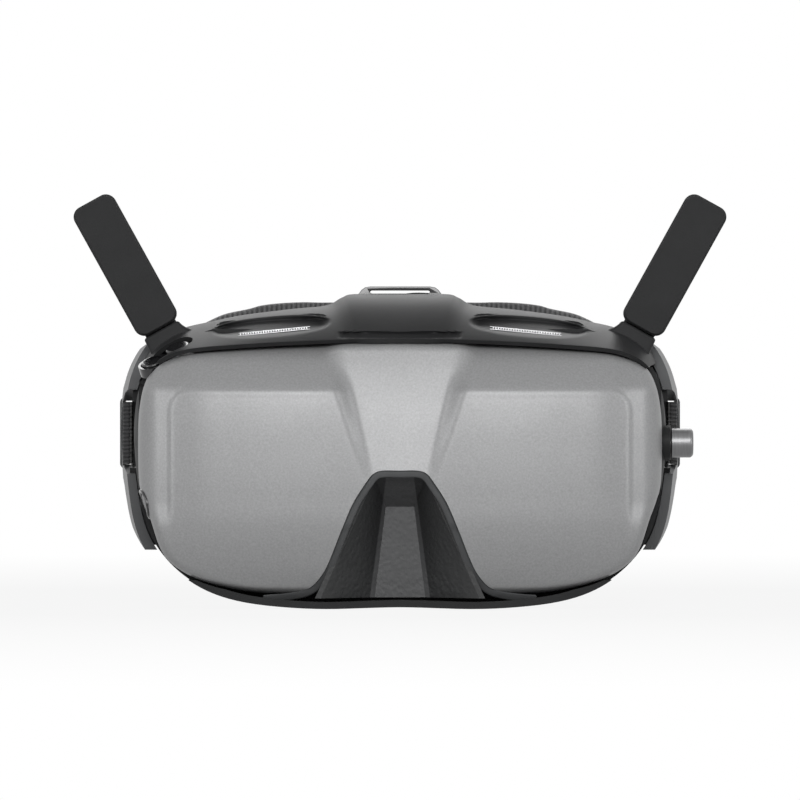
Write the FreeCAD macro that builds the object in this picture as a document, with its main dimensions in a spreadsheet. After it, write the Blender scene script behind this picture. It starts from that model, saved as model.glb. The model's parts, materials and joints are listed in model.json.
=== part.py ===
"""Video goggles for flying model aircraft: shells, optics, controls, aerials and a headband with a battery.

Frame: millimetres, +Z up, -Y is the side that faces away from the wearer, +X is the wearer's left.
The origin is the middle of the overall box on the surface that the goggles stand on.
"""
import FreeCAD, Part
import math
import os
import Sketcher

doc = FreeCAD.newDocument("goggles")
V = FreeCAD.Vector
Rotation = FreeCAD.Rotation
UP, BACKWARD, ACROSS = V(0, 0, 1), V(0, 1, 0), V(1, 0, 0)

# ---------------------------------------------------------------- driving dimensions
DIMENSIONS = {
    # whole object
    "overall_depth": 240, "body_width": 168, "tower_top": 99.5, "foam_back": 75,
    # shells
    "wall": 2.2, "cover_margin": 1.5, "cover_drop": 15.5, "cover_low": 4.7, "cover_wall": 2,
    "cover_depth": 24, "housing_back": 56, "split_drop": 23.5, "shell_gap": 0.3, "lip_front": 10,
    "lip_height": 9,
    # nose notch and the dark nose cover behind it
    "notch_top": 43.4, "notch_half_top": 8.7, "notch_half_low": 31, "trim_width": 2.2,
    "trim_depth": 2.4, "nose_depth": 14, "nose_top": 33.6, "nose_half_top": 5.3, "nose_half_low": 9.8,
    "nose_wall": 1.6,
    # face side
    "face_plate": 2.5, "eye_opening_width": 51, "eye_opening_height": 45, "foam_width": 11,
    "soft_gap": 0.3, "foam_drop": 1, "nose_arch_half": 19, "nose_arch_top": 36, "nose_flap": 1.2,
    "pocket_front": 36, "pocket_wall": 1.6,
    # bulkhead and optics
    "bulkhead_front": 25, "frame_inset": 19, "bulkhead_thick": 2.2, "eye_spacing": 64, "eye_height": 53,
    "ipd_travel": 4, "barrel_radius": 20, "barrel_wall": 1.6, "barrel_front": 35, "barrel_back": 57.6,
    "eye_lens_thick": 4.4, "inner_lens_thick": 5, "display_width": 26, "display_height": 22,
    "display_thick": 2.6, "rod_radius": 1.5, "rod_spread": 24.5, "rod_depth": 45, "rod_clearance": 0.05,
    "lug_half": 5, "lug_reach": 3.2, "post_thick": 3, "ipd_grip_half": 4, "ipd_grip_thick": 6.6,
    "ipd_clearance": 0.4, "grip_low": 1,
    # dial and lead screw for the eye distance
    "dial_radius": 4.6, "dial_length": 7, "dial_collar": 1.5, "screw_depth": 30.2, "screw_height": 52,
    "screw_shaft": 1.5, "screw_clearance": 0.05, "nut_half": 3.4, "nut_offset": 16.8, "nut_length": 4,
    # electronics
    "board_width": 112, "board_height": 26, "board_thick": 1.6, "board_front": 17, "board_low": 46,
    "post_radius": 2.2, "bolt_radius": 1, "bolt_head": 1.9, "bolt_head_thick": 1.2, "sink_half": 31,
    "sink_base": 1.5, "fin_depth": 4, "fin_thick": 1, "fan_size": 26, "fan_depth": 6.5, "fan_bore": 12,
    "fan_radius": 11.4, "fan_hub": 4.5, "fan_axle": 1, "fan_blades": 9,
    # control pod on the wearer's right
    "pod_half_length": 4.4, "pod_radius": 4.9, "pod_thick": 3.2, "pod_lean": 16, "pod_tip": 22,
    "pod_inset": 10.4, "pod_drop": 20.9, "pod_depth": 22, "stick_radius": 3.9, "stick_thick": 1.7,
    "stick_lift": 1.4, "stick_stem": 1, "stick_ring": 2.6, "stick_well": 3.2, "key_radius": 3.9,
    "key_lift": 0.8, "press_travel": 0.4, "key_gap": 0.2,
    # pairing button in the side of the front cover
    "link_radius": 3.2, "link_height": 32.8, "link_depth": 17, "link_bezel": 1,
    # aerials
    "aerial_length": 46, "aerial_width": 14.6, "aerial_thick": 5, "aerial_lean": 29,
    "aerial_inset": 8.1, "aerial_drop": 11.3, "aerial_depth": 34, "hinge_rise": 4, "hinge_back": 5.6,
    "hinge_radius": 2.8, "hinge_pin": 1.2, "hinge_clearance": 0.05, "knuckle_half": 2.8,
    "ear_thick": 2.4, "ear_gap": 0.2, "mount_drop": 10, "aerial_cap": 1,
    # side arms and headband
    "arm_thick": 2.6, "arm_gap": 0.8, "arm_flare": 2.4, "arm_front": 43.5, "arm_throat": 80,
    "arm_back": 106, "arm_drop": 15.5, "arm_low": 18, "arm_peg": 2, "sleeve_wall": 1.2,
    "strap_out": 3.6, "strap_height": 20, "strap_thick": 2.3, "strap_gap": 0.35, "strap_middle": 55,
    "strap_front": 62, "strap_straight": 136,
    # battery pack at the back of the head
    "pack_half": 54, "pack_height": 62, "pack_thick": 24, "pack_wall": 2, "cell_width": 26,
    "cell_height": 48, "cell_thick": 10, "cell_gap": 0.35, "cell_margin": 4.15, "pack_board": 1.6,
    "power_radius": 4.6, "light_radius": 1.2, "light_pitch": 6, "rear_pad": 7,
    # top loop
    "loop_width": 25.8, "loop_rise": 2.4, "loop_bar": 1.7, "loop_depth": 47, "loop_thick": 3.4,
    "loop_root": 2.9, "loop_floor": 1.6,
}

sheet = doc.addObject("Spreadsheet::Sheet", "dims")
for row, (name, number) in enumerate(DIMENSIONS.items(), start=1):
    sheet.set(f"A{row}", name)
    sheet.set(f"B{row}", str(number))
    sheet.setAlias(f"B{row}", name)
doc.recompute()


def size(name):
    """The value of a named cell of the sheet."""
    return float(sheet.get(name))


def body_half():
    return size("body_width") / 2


def cover_half():
    return body_half() - size("cover_margin")


def cover_top():
    return size("tower_top") - size("cover_drop")


def split_height():
    """Where the housing ends and the top cover begins."""
    return size("tower_top") - size("split_drop")


def loop_foot():
    return size("tower_top") - size("loop_root")


def frame_end():
    """The x of the outermost posts of the bulkhead."""
    return body_half() - size("frame_inset")


def strap_middle_x():
    return body_half() + size("strap_out")


front = -size("overall_depth") / 2
nodes = []


def at_depth(depth):
    """The Y of a plane that lies this far behind the foremost point."""
    return front + depth


def bind(thing, **expressions):
    for name, text in expressions.items():
        thing.setExpression(name, text)
    return thing


def place(thing, x="0", y="0", z="0", turn=None):
    """Binds a thing's place to the sheet. y is a depth behind the foremost point."""
    if turn is not None:
        thing.Placement = FreeCAD.Placement(V(0, 0, 0), turn)
    thing.setExpression("Placement.Base.x", x)
    thing.setExpression("Placement.Base.y", f"0 - dims.overall_depth / 2 + {y}")
    thing.setExpression("Placement.Base.z", z)
    return thing


def keep(thing, label):
    """Marks a thing as a sub-part that is written out under this label."""
    thing.Label = label
    nodes.append(thing)
    return thing


def box(length, width, height, **where):
    thing = doc.addObject("Part::Box", "box")
    return place(bind(thing, Length=length, Width=width, Height=height), **where)


def cylinder(radius, height, turn=None, **where):
    thing = doc.addObject("Part::Cylinder", "cylinder")
    return place(bind(thing, Radius=radius, Height=height), turn=turn, **where)


def cut(base, *tools):
    thing = doc.addObject("Part::Cut", "cut")
    thing.Base = base
    thing.Tool = tools[0] if len(tools) == 1 else fuse(*tools)
    return thing


def fuse(*shapes):
    thing = doc.addObject("Part::MultiFuse", "fuse")
    thing.Shapes = list(shapes)
    return thing


def group(*shapes):
    """Separate solids that share one sub-part."""
    thing = doc.addObject("Part::Compound", "group")
    thing.Links = list(shapes)
    return thing


def feature(shape, label):
    thing = doc.addObject("Part::Feature", label)
    thing.Shape = shape
    return keep(thing, label)


ALONG_X = Rotation(V(0, 1, 0), 90)
ALONG_Y = Rotation(V(1, 0, 0), -90)


# ---------------------------------------------------------------- sketched bodies
def sketch_on(body, plane):
    sketch = body.newObject("Sketcher::SketchObject", "sketch")
    origin = next(f for f in body.Origin.OriginFeatures if f.Role == plane)
    sketch.AttachmentSupport = [(origin, "")]
    sketch.MapMode = "FlatFace"
    return sketch


def centred_rectangle(sketch, width, height, low="0"):
    """A rectangle about the sketch's upright axis whose lower side is at low, bound to the sheet."""
    lines = [Part.LineSegment(V(a, b, 0), V(c, d, 0)) for a, b, c, d in
             ((-5, 0, 5, 0), (5, 0, 5, 4), (5, 4, -5, 4), (-5, 4, -5, 0))]
    first = sketch.addGeometry(lines, False)[0]
    for k in range(4):
        sketch.addConstraint(Sketcher.Constraint("Coincident", first + k, 2, first + (k + 1) % 4, 1))
    for k, kind in ((1, "Vertical"), (2, "Horizontal"), (3, "Vertical")):
        sketch.addConstraint(Sketcher.Constraint(kind, first + k))
    sketch.addConstraint(Sketcher.Constraint("Symmetric", first, 1, first, 2, -2))
    for kind, number, text in (("DistanceX", 10, width), ("DistanceY", 4, height)):
        edge = first if kind == "DistanceX" else first + 1
        index = sketch.addConstraint(Sketcher.Constraint(kind, edge, 1, edge, 2, number))
        sketch.setExpression(f"Constraints[{index}]", text)
    index = sketch.addConstraint(Sketcher.Constraint("DistanceY", -1, 1, first, 1, 0.0))
    sketch.setExpression(f"Constraints[{index}]", low)


def bound_circle(sketch, radius, x=None, y=None):
    circle = sketch.addGeometry(Part.Circle(V(1, 1, 0), UP, 3), False)
    index = sketch.addConstraint(Sketcher.Constraint("Radius", circle, 3))
    sketch.setExpression(f"Constraints[{index}]", radius)
    for kind, text in (("DistanceX", x), ("DistanceY", y)):
        index = sketch.addConstraint(Sketcher.Constraint(kind, -1, 1, circle, 3, 0.0))
        sketch.setExpression(f"Constraints[{index}]", text or "0")


def new_body(label):
    body = doc.addObject("PartDesign::Body", label)
    return keep(body, label)


def pad(body, draw, length, plane="XY_Plane", middle=False):
    sketch = sketch_on(body, plane)
    draw(sketch)
    pad_feature = body.newObject("PartDesign::Pad", "pad")
    pad_feature.Profile = sketch
    pad_feature.Midplane = middle
    bind(pad_feature, Length=length)
    doc.recompute()
    return pad_feature


def ease(body, kind, amount, edges):
    """A fillet or chamfer of the named amount on the tip's edges that the test picks."""
    base = body.Tip
    names = [f"Edge{k + 1}" for k, edge in enumerate(base.Shape.Edges) if edges(edge)]
    if not names:
        raise ValueError(f"no edge to ease in {body.Label}")
    easing = body.newObject(f"PartDesign::{kind}", kind.lower())
    easing.Base = (base, names)
    bind(easing, **{"Radius" if kind == "Fillet" else "Size": amount})
    doc.recompute()
    return easing


def is_circle_at(height):
    """Picks round edges that lie in the plane z = height of the body."""
    def picked(edge):
        box = edge.BoundBox
        return isinstance(edge.Curve, Part.Circle) and abs(box.ZMax - height) < 1e-4 > box.ZLength
    return picked


# ---------------------------------------------------------------- outlines of the shells
def closed_curve(points, depth):
    """A face in the plane y = depth inside a smooth curve that is mirrored about x = 0.

    points run from the top of the middle line to its foot, down the +X side."""
    right = [V(x, at_depth(depth), z) for x, z in points]
    left = [V(-p.x, p.y, p.z) for p in reversed(right[1:-1])]
    curve = Part.BSplineCurve()
    curve.interpolate(right + left, PeriodicFlag=True)
    return Part.Face(Part.Wire(curve.toShape()))


def body_outline(inset=0.0, grow=0.0):
    """Points of the housing seen from the front, with the raised middle on top."""
    half = body_half() - inset + grow
    top = size("tower_top") - inset + grow
    low = inset - grow
    shoulder = top - 5.6
    return [(0, top), (half * 0.15, top), (half * 0.20, top - 1.2), (half * 0.28, shoulder + 0.9),
            (half * 0.38, shoulder), (half * 0.58, shoulder - 1.2), (half * 0.73, shoulder - 3.8),
            (half * 0.88, shoulder - 10.4), (half * 0.97, shoulder - 22), (half, shoulder - 42),
            (half * 0.985, low + 39), (half * 0.94, low + 23.5), (half * 0.85, low + 13),
            (half * 0.72, low + 5.6), (half * 0.45, low + 0.7), (half * 0.28, low), (0, low + 0.5)]


def cover_outline(inset=0.0):
    """Points of the front cover seen from the front, before its notch is cut."""
    half = cover_half() - inset
    top = cover_top() - inset
    low = size("cover_low") + inset
    return [(0, top), (half * 0.36, top - 0.4), (half * 0.69, top - 1.7), (half * 0.83, top - 3.6),
            (half * 0.935, top - 8.5), (half * 0.985, top - 18), (half, top - 30), (half, top - 44),
            (half * 0.98, low + 24), (half * 0.935, low + 14.5), (half * 0.84, low + 7.4),
            (half * 0.66, low + 1.7), (half * 0.45, low), (0, low)]


def plan_prism(width, lobe_depth, back, shift=0.0, low=-20.0, high=120.0):
    """What lies behind the curved front seen from above: two shallow lobes that wrap round the sides."""
    half = width / 2
    points = [(0, 3), (half * 0.19, 1.4), (half * 0.4, 0), (half * 0.66, 1.8), (half * 0.85, 6),
              (half * 0.945, 11.5), (half * 0.985, 17), (half, lobe_depth)]
    right = [V(x, at_depth(d + shift), low) for x, d in points]
    left = [V(-p.x, p.y, p.z) for p in reversed(right[1:])]
    curve = Part.BSplineCurve()
    curve.interpolate(left + right)
    ends = [V(half, at_depth(back), low), V(-half, at_depth(back), low)]
    edges = [curve.toShape(), Part.makeLine(right[-1], ends[0]), Part.makeLine(ends[0], ends[1]),
             Part.makeLine(ends[1], left[0])]
    return Part.Face(Part.Wire(edges)).extrude(V(0, 0, high - low))


def profile_prism(points, back, reach=110.0):
    """What lies behind a front profile of (depth, height) points seen from the side."""
    line = [V(-reach, at_depth(d), z) for d, z in points]
    curve = Part.BSplineCurve()
    curve.interpolate(line)
    corners = [line[-1], V(-reach, at_depth(back), line[-1].z), V(-reach, at_depth(back), line[0].z), line[0]]
    edges = [curve.toShape()] + [Part.makeLine(a, b) for a, b in zip(corners, corners[1:])]
    return Part.Face(Part.Wire(edges)).extrude(V(2 * reach, 0, 0))


def cover_profile(shift=0.0):
    """The front cover's profile on the middle line: a leaning brow, a flat panel and a tucked-in foot."""
    top = cover_top()
    return [(16 + shift, top + 4), (11.6 + shift, top - 1), (4.4 + shift, top - 13), (1.2 + shift, top - 21),
            (shift, top - 34), (0.3 + shift, top - 52), (3 + shift, top - 65), (8.6 + shift, top - 75),
            (15 + shift, top - 84)]


def brow_profile(shift=0.0):
    """The top cover's profile: from the front cover's upper edge up to the raised middle."""
    top = size("tower_top")
    return [(11 + shift, 60.0), (12 + shift, cover_top() - 1), (15.5 + shift, top - 11),
            (24 + shift, top - 4.6 - shift * 0.6), (36 + shift, top - shift), (50 + shift, top + 1 - shift)]


def between(depth_a, depth_b, outline):
    """A flat outline face swept from one depth to another."""
    return closed_curve(outline, depth_a).extrude(V(0, depth_b - depth_a, 0))


def block(x0, x1, d0, d1, z0, z1):
    return Part.makeBox(x1 - x0, d1 - d0, z1 - z0, V(x0, at_depth(d0), z0))


def notch_points(inset=0.0, low=-5.0):
    """Corners of the notch over the nose: a tall trapezium, from its lower left corner."""
    top, low_level = size("notch_top") - inset, low
    half_top = size("notch_half_top") - inset * 0.8
    half_low = size("notch_half_low") - inset
    return [(-half_low, low_level), (-half_top, top), (half_top, top), (half_low, low_level)]


def rounded_prism(points, depth_a, depth_b, radius=0.0):
    """A prism along Y on straight-sided points, with its inner corners rounded."""
    loop = [V(x, at_depth(depth_a), z) for x, z in points]
    solid = Part.Face(Part.makePolygon(loop + loop[:1])).extrude(V(0, depth_b - depth_a, 0))
    if radius <= 0:
        return solid
    upper = max(z for _, z in points)
    edges = [e for e in solid.Edges if e.BoundBox.ZLength < 1e-6 < e.BoundBox.YLength - 1
             and abs(e.BoundBox.ZMax - upper) < 1e-6]
    return solid.makeFillet(radius, edges)


# ---------------------------------------------------------------- the shells
def make_front_cover():
    """The silver cover: a curved pan with a notch over the nose."""
    wall, depth = size("cover_wall"), size("cover_depth")
    width = 2 * cover_half()
    outer = between(0, depth, cover_outline()).common(plan_prism(width, depth, 80)).common(
        profile_prism(cover_profile(), 80))
    inner = between(0, depth + 1, cover_outline(wall)).common(
        plan_prism(width - 2 * wall, depth, 80, wall)).common(profile_prism(cover_profile(wall), 80))
    shell = outer.cut(inner)
    shell = shell.cut(rounded_prism(notch_points(), -5, depth + 5, 4))
    shell = shell.cut(link_tool()).cut(pod_tool(0, 40))
    return feature(largest(shell), "front_cover")


def largest(shape):
    return max(shape.Solids, key=lambda s: s.Volume)


def make_cover_trim():
    """The grey edging that lines the notch."""
    width, depth = size("trim_width"), size("trim_depth")
    ring = rounded_prism(notch_points(size("shell_gap") * 0.3), 3.2, 3.2 + depth, 3.8).cut(
        rounded_prism(notch_points(width), 0, 20, 2.4))
    low = block(-60, 60, -5, 40, -20, size("cover_low") + 3.4)
    return feature(largest(ring.cut(low)), "notch_trim")


def make_top_cover():
    """The dark top shell: shoulders, raised middle, two air outlets and a groove over the front cover."""
    wall, gap = size("wall"), size("shell_gap")
    back, width = size("housing_back"), size("body_width")
    outer = between(8, back, body_outline()).common(plan_prism(width, 30, 80, 9)).common(
        profile_prism(brow_profile(), 80))
    inner = between(8, back + 1, body_outline(wall)).common(
        plan_prism(width - 2 * wall, 30, 80, 9 + wall)).common(profile_prism(brow_profile(wall), 80))
    shell = outer.cut(inner)
    shell = shell.cut(block(-150, 150, -10, 90, -20, split_height() + gap))
    shell = shell.cut(between(-5, size("cover_depth") + gap, cover_outline(-gap)))
    for side in (-1, 1):
        shell = shell.cut(vent_tool(side))
        shell = shell.cut(aerial_seat(side))
        shell = shell.cut(rounded_prism(
            [(side * x, z) for x, z in ((24, 91.5), (24, 90.2), (52, 88.4), (52, 89.7))], 5, 30))
    shell = shell.cut(pod_tool(0, 40)).cut(loop_feet())
    return feature(largest(shell), "top_cover")


def vent_tool(side):
    """The slot behind each air grille."""
    slot = Part.makeBox(30, 20, 2.6, V(-15, -10, -1.3))
    slot.rotate(V(0, 0, 0), V(0, 1, 0), side * 4)
    slot.translate(V(side * 38, at_depth(26), cover_top() + 6.4))
    return slot


def make_vent_grilles():
    """Air grilles that sit in the two outlets: a bar frame with upright slats."""
    grilles = []
    for side in (-1, 1):
        frame = Part.makeBox(29.4, 1.6, 2.0, V(-14.7, 0, -1.0))
        for k in range(12):
            x = -13 + k * 2.2
            frame = frame.cut(Part.makeBox(1.2, 4, 1.2, V(x, -1, -0.6)))
        frame.rotate(V(0, 0, 0), V(0, 1, 0), side * 4)
        frame.translate(V(side * 38, at_depth(24), cover_top() + 6.4))
        grilles.append(frame)
    return feature(Part.makeCompound(grilles), "vent_grilles")


def make_main_housing():
    """The dark middle ring with the lower lip, the two interpupillary slots and the side seats."""
    wall, gap, back = size("wall"), size("shell_gap"), size("housing_back")
    lip = size("lip_front")
    ring = between(lip - 4, back, body_outline()).cut(between(lip - 5, back + 1, body_outline(wall)))
    ring = ring.common(plan_prism(size("body_width"), 30, 80, lip - 2))
    ring = ring.cut(block(-150, 150, -10, size("cover_depth") + gap, size("lip_height"), 120))
    ring = ring.cut(between(-5, size("cover_depth") + gap, cover_outline(-gap)))
    ring = ring.cut(block(-150, 150, -10, 90, split_height(), 130))
    for side in (-1, 1):
        reach = size("ipd_grip_half") + size("ipd_travel") + size("ipd_clearance")
        middle = side * size("eye_spacing") / 2
        half_slot = size("ipd_grip_thick") / 2 + size("ipd_clearance")
        ring = ring.cut(block(middle - reach, middle + reach, size("rod_depth") - half_slot,
                              size("rod_depth") + half_slot, -5, 12))
    for hole in peg_holes():
        ring = ring.cut(hole)
    ring = ring.cut(Part.makeCylinder(size("dial_radius") + 1.03, 30, V(body_half() - 2, at_depth(
        size("screw_depth")), size("screw_height")), ACROSS))
    ring = ring.cut(Part.makeCylinder(size("screw_shaft") + size("screw_clearance"), 20, V(70, at_depth(
        size("screw_depth")), size("screw_height")), ACROSS))
    ring = ring.cut(pocket_mouth()).cut(pod_tool(0, 40))
    return feature(largest(ring), "main_housing")


def make_nose_cover():
    """The dark textured pocket behind the notch: a floor over the nose and three leaning walls."""
    wall, depth = size("nose_wall"), size("nose_depth")
    start = 3.2 + size("trim_depth") + size("shell_gap")

    def funnel(inset, d0, d1):
        mouth = [(x * (1 - inset / 25), z - (inset if z > 0 else 0)) for x, z in notch_points(0.4)]
        floor_low, top = -5.0, size("nose_top") - inset
        half_top, half_low = size("nose_half_top") - inset * 0.5, size("nose_half_low") - inset * 0.5
        floor = [(-half_low, floor_low), (-half_top, top), (half_top, top), (half_low, floor_low)]
        wires = []
        for points, d in ((mouth, d0), (floor, d1)):
            loop = [V(x, at_depth(d), z) for x, z in points]
            wires.append(Part.makePolygon(loop + loop[:1]))
        return Part.makeLoft(wires, True, True)

    outer = funnel(0, start, start + depth + wall)
    inner = funnel(wall, start - 0.01, start + depth)
    shell = outer.cut(inner)
    shell = shell.cut(block(-60, 60, -5, 60, -5, 3.4))
    return feature(largest(shell), "nose_cover")


def make_face_plate():
    """The plate that closes the housing towards the face, with two eye openings and a nose arch."""
    back, thick = size("housing_back"), size("face_plate")
    plate = between(back, back + thick, body_outline(0.2))
    for side in (-1, 1):
        opening = block(-size("eye_opening_width") / 2, size("eye_opening_width") / 2, back - 1, back + thick + 1,
                        size("eye_height") - size("eye_opening_height") / 2,
                        size("eye_height") + size("eye_opening_height") / 2)
        edges = [e for e in opening.Edges if e.BoundBox.YLength > thick]
        opening = opening.makeFillet(12, edges)
        opening.translate(V(side * (size("eye_spacing") / 2 + 0.5), 0, 0))
        plate = plate.cut(opening)
    plate = plate.cut(nose_arch(0, back - 1, back + thick + 1))
    return feature(largest(plate), "face_plate")


def nose_arch(grow, depth_a, depth_b):
    """The arched space that clears the wearer's nose."""
    half, top = size("nose_arch_half") + grow, size("nose_arch_top") + grow
    points = [(-half, -10), (-half * 0.4, top), (half * 0.4, top), (half, -10)]
    return rounded_prism(points, depth_a, depth_b, 5)


def foam_outline(inset=0.0):
    """Points of the face foam seen from the front, a little proud of the housing above and below."""
    half = body_half() - 3 - inset
    top, low = (size("tower_top") - size("foam_drop")) - inset, 1.2 + inset
    return [(0, top - 0.5), (half * 0.25, top), (half * 0.42, top - 0.6), (half * 0.62, top - 3.2),
            (half * 0.78, top - 8), (half * 0.9, top - 18), (half * 0.98, top - 32), (half, top - 47),
            (half * 0.98, low + 34), (half * 0.92, low + 20), (half * 0.82, low + 10), (half * 0.66, low + 3.2),
            (half * 0.42, low), (half * 0.2, low + 0.6), (0, low + 1)]


def make_face_foam():
    """The soft ring that rests on the face, hollowed to a forehead's curve seen from above."""
    start = size("housing_back") + size("face_plate") + size("soft_gap")
    back, width = size("foam_back"), size("foam_width")
    ring = between(start, back, foam_outline()).cut(between(start - 1, back + 1, foam_outline(width)))
    ring = ring.cut(nose_arch(1.5, start - 1, back + 1))
    middle = start + 6
    across = V(0, at_depth(middle), -20)
    edge = V(90, at_depth(back + 4), -20)
    arc = Part.Arc(V(-edge.x, edge.y, edge.z), across, edge).toShape()
    tail = Part.makePolygon([edge, V(90, at_depth(back + 40), -20), V(-90, at_depth(back + 40), -20),
                             V(-edge.x, edge.y, edge.z)])
    head = Part.Face(Part.Wire([arc] + tail.Edges)).extrude(V(0, 0, 140))
    return feature(largest(ring.cut(head)), "face_foam")


def make_nose_flap():
    """The thin rubber light flap across the nose arch."""
    start = size("housing_back") + size("face_plate")
    thick = size("nose_flap")
    flap = nose_arch(6, start, start + thick).cut(nose_arch(-3, start - 1, start + thick + 1))
    flap = flap.common(between(start, start + thick, foam_outline(-0.5)))
    arch = nose_arch(1.5 - size("shell_gap"), start - 1, start + thick + 1)
    flap = flap.common(arch)
    flap = flap.cut(block(-60, 60, 0, 90, -10, 4))
    return feature(largest(flap), "nose_flap")


def make_nose_pocket():
    """The dark shroud on the face side that makes room for the nose, open at the back and below."""
    wall, back = size("pocket_wall"), size("housing_back")

    def arch_loft(inset, d0, d1):
        wires = []
        for scale, d in ((1.0, d1), (0.62, d0)):
            half = size("nose_arch_half") * scale - inset
            top = size("nose_arch_top") * (0.35 + 0.65 * (scale - 0.4) / 0.6) - inset
            loop = [V(x, at_depth(d), z) for x, z in
                    ((-half, -6), (-half * 0.34, top), (half * 0.34, top), (half, -6))]
            wires.append(Part.makePolygon(loop + loop[:1]))
        return Part.makeLoft(wires, True, True)

    start = size("pocket_front")
    shell = arch_loft(-wall, start - wall, back).cut(arch_loft(0, start, back + 0.01))
    trimmed = shell.cut(block(-60, 60, 0, 90, -10, 3))
    return feature(largest(trimmed), "nose_pocket")


def pocket_mouth():
    """The open space inside the nose pocket, carried down through the floor of the housing."""
    half = size("nose_arch_half")
    start, back = size("pocket_front"), size("housing_back")
    corners = [V(x, at_depth(d), -8) for x, d in
               ((-half * 0.62, start), (half * 0.62, start), (half, back + 1), (-half, back + 1))]
    return Part.Face(Part.makePolygon(corners + corners[:1])).extrude(V(0, 0, 14))


# ---------------------------------------------------------------- bulkhead and optics
def eye_centres():
    return [(side, name, side * size("eye_spacing") / 2) for side, name in ((-1, "right"), (1, "left"))]


def make_bulkhead():
    """The inner wall that carries the board, the rods of the eyepieces and the end of the lead screw."""
    start, thick = size("bulkhead_front"), size("bulkhead_thick")
    wall = between(start, start + thick, body_outline(size("wall") + 0.05))
    wall = wall.cut(block(-150, 150, 0, 90, split_height() + 12, 130))
    wall = wall.cut(pod_tool(0.6, 40))
    height, spread = size("eye_height"), size("rod_spread")
    reach = size("rod_depth") + 3.4
    half_post, back = size("post_thick") / 2, start + thick
    for side in (-1, 1):
        eye = side * size("eye_spacing") / 2
        window = block(eye - 15, eye + 15, start - 1, back + 1, height - 9, height + 9)
        wall = wall.cut(window)
        outer = side * frame_end()
        for z, inner in ((height + spread, 0), (height - spread, side * 17)):
            for x in (inner, outer):
                wall = wall.fuse(block(x - half_post, x + half_post, back - 0.5, reach, z - 3.5, z + 3.5))
    post = size("screw_height")
    for x in (0, -frame_end()):
        wall = wall.fuse(block(x - half_post, x + half_post, back - 0.5, size("screw_depth") + 3.4,
                               post - 3.5, post + 3.5))
    for x0, x1, z in rod_lines():
        radius = size("rod_radius")
        wall = wall.cut(Part.makeCylinder(radius, x1 - x0, V(x0, at_depth(size("rod_depth")), z), ACROSS))
    bore = size("screw_shaft") + size("screw_clearance")
    screw_start = V(-body_half(), at_depth(size("screw_depth")), post)
    wall = wall.cut(Part.makeCylinder(bore, 2 * body_half(), screw_start, ACROSS))
    for x, z in board_holes():
        hole = Part.makeCylinder(size("bolt_radius"), 10, V(x, at_depth(start - 2), z), BACKWARD)
        wall = wall.cut(hole)
    return feature(largest(wall.removeSplitter()), "bulkhead")


def rod_lines():
    """Start and end x and the height of each guide rod."""
    height, spread = size("eye_height"), size("rod_spread")
    end = frame_end() + size("post_thick") / 2
    inner = 17 - size("post_thick") / 2
    return [(-end, end, height + spread), (inner, end, height - spread), (-end, -inner, height - spread)]


def make_guide_rods():
    rods = [Part.makeCylinder(size("rod_radius"), x1 - x0, V(x0, at_depth(size("rod_depth")), z), ACROSS)
            for x0, x1, z in rod_lines()]
    return feature(Part.makeCompound(rods), "guide_rods")


def make_eyepiece(side, name, x):
    """One eyepiece: barrel with lugs and grip, two lenses and the screen in front."""
    radius, wall = size("barrel_radius"), size("barrel_wall")
    front_face, back = size("barrel_front"), size("barrel_back")
    height, spread = size("eye_height"), size("rod_spread")
    centre = V(x, at_depth(front_face), height)
    barrel = Part.makeCylinder(radius, back - front_face, centre, BACKWARD)
    lug, rod = size("lug_half"), size("rod_depth")
    reach = size("lug_reach")
    for sign in (-1, 1):
        z0, z1 = sorted((height + sign * (radius - 3), height + sign * (spread + reach)))
        barrel = barrel.fuse(block(x - lug, x + lug, rod - reach, rod + reach, z0, z1))
    grip, thick = size("ipd_grip_half"), size("ipd_grip_thick")
    barrel = barrel.fuse(block(x - grip, x + grip, rod - thick / 2, rod + thick / 2, size("grip_low"),
                               height - spread))
    nut, nut_x = size("nut_half"), x + side * size("nut_offset")
    screw_d, screw_z = size("screw_depth"), size("screw_height")
    barrel = barrel.fuse(block(nut_x - size("nut_length") / 2, nut_x + size("nut_length") / 2,
                               screw_d - 2.6, front_face + 1, screw_z - nut, screw_z + nut))
    inside = [(front_face + 1.6, 12, radius - wall - 3), (front_face + 5, 30, radius - wall - 1.4),
              (back - size("eye_lens_thick") - 1, 10, radius - wall)]
    for depth, length, bore in inside:
        barrel = barrel.cut(Part.makeCylinder(bore, length, V(x, at_depth(depth), height), BACKWARD))
    half_w, half_h = size("display_width") / 2 - 1.5, size("display_height") / 2 - 1.5
    barrel = barrel.cut(block(x - half_w, x + half_w, front_face - 1, front_face + 2, height - half_h,
                              height + half_h))
    bore = size("rod_radius") + size("rod_clearance")
    for sign in (-1, 1):
        start = V(x - 20, at_depth(rod), height + sign * spread)
        barrel = barrel.cut(Part.makeCylinder(bore, 40, start, ACROSS))
    barrel = barrel.cut(Part.makeCylinder(size("screw_shaft") + size("screw_clearance"), 16,
                                          V(nut_x - 8, at_depth(screw_d), screw_z), ACROSS))
    feature(largest(barrel.removeSplitter()), f"eyepiece_barrel_{name}")
    half_w, half_h = size("display_width") / 2, size("display_height") / 2
    keep(box("dims.display_width", "dims.display_thick", "dims.display_height",
             x=f"{side} * dims.eye_spacing / 2 - dims.display_width / 2",
             y="dims.barrel_front - dims.display_thick", z="dims.eye_height - dims.display_height / 2"),
         f"display_{name}")
    make_lens(x, back - size("eye_lens_thick") - 1, size("eye_lens_thick"), radius - wall, f"eye_lens_{name}")
    make_lens(x, front_face + 5, size("inner_lens_thick"), radius - wall - 1.4, f"inner_lens_{name}")


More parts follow.
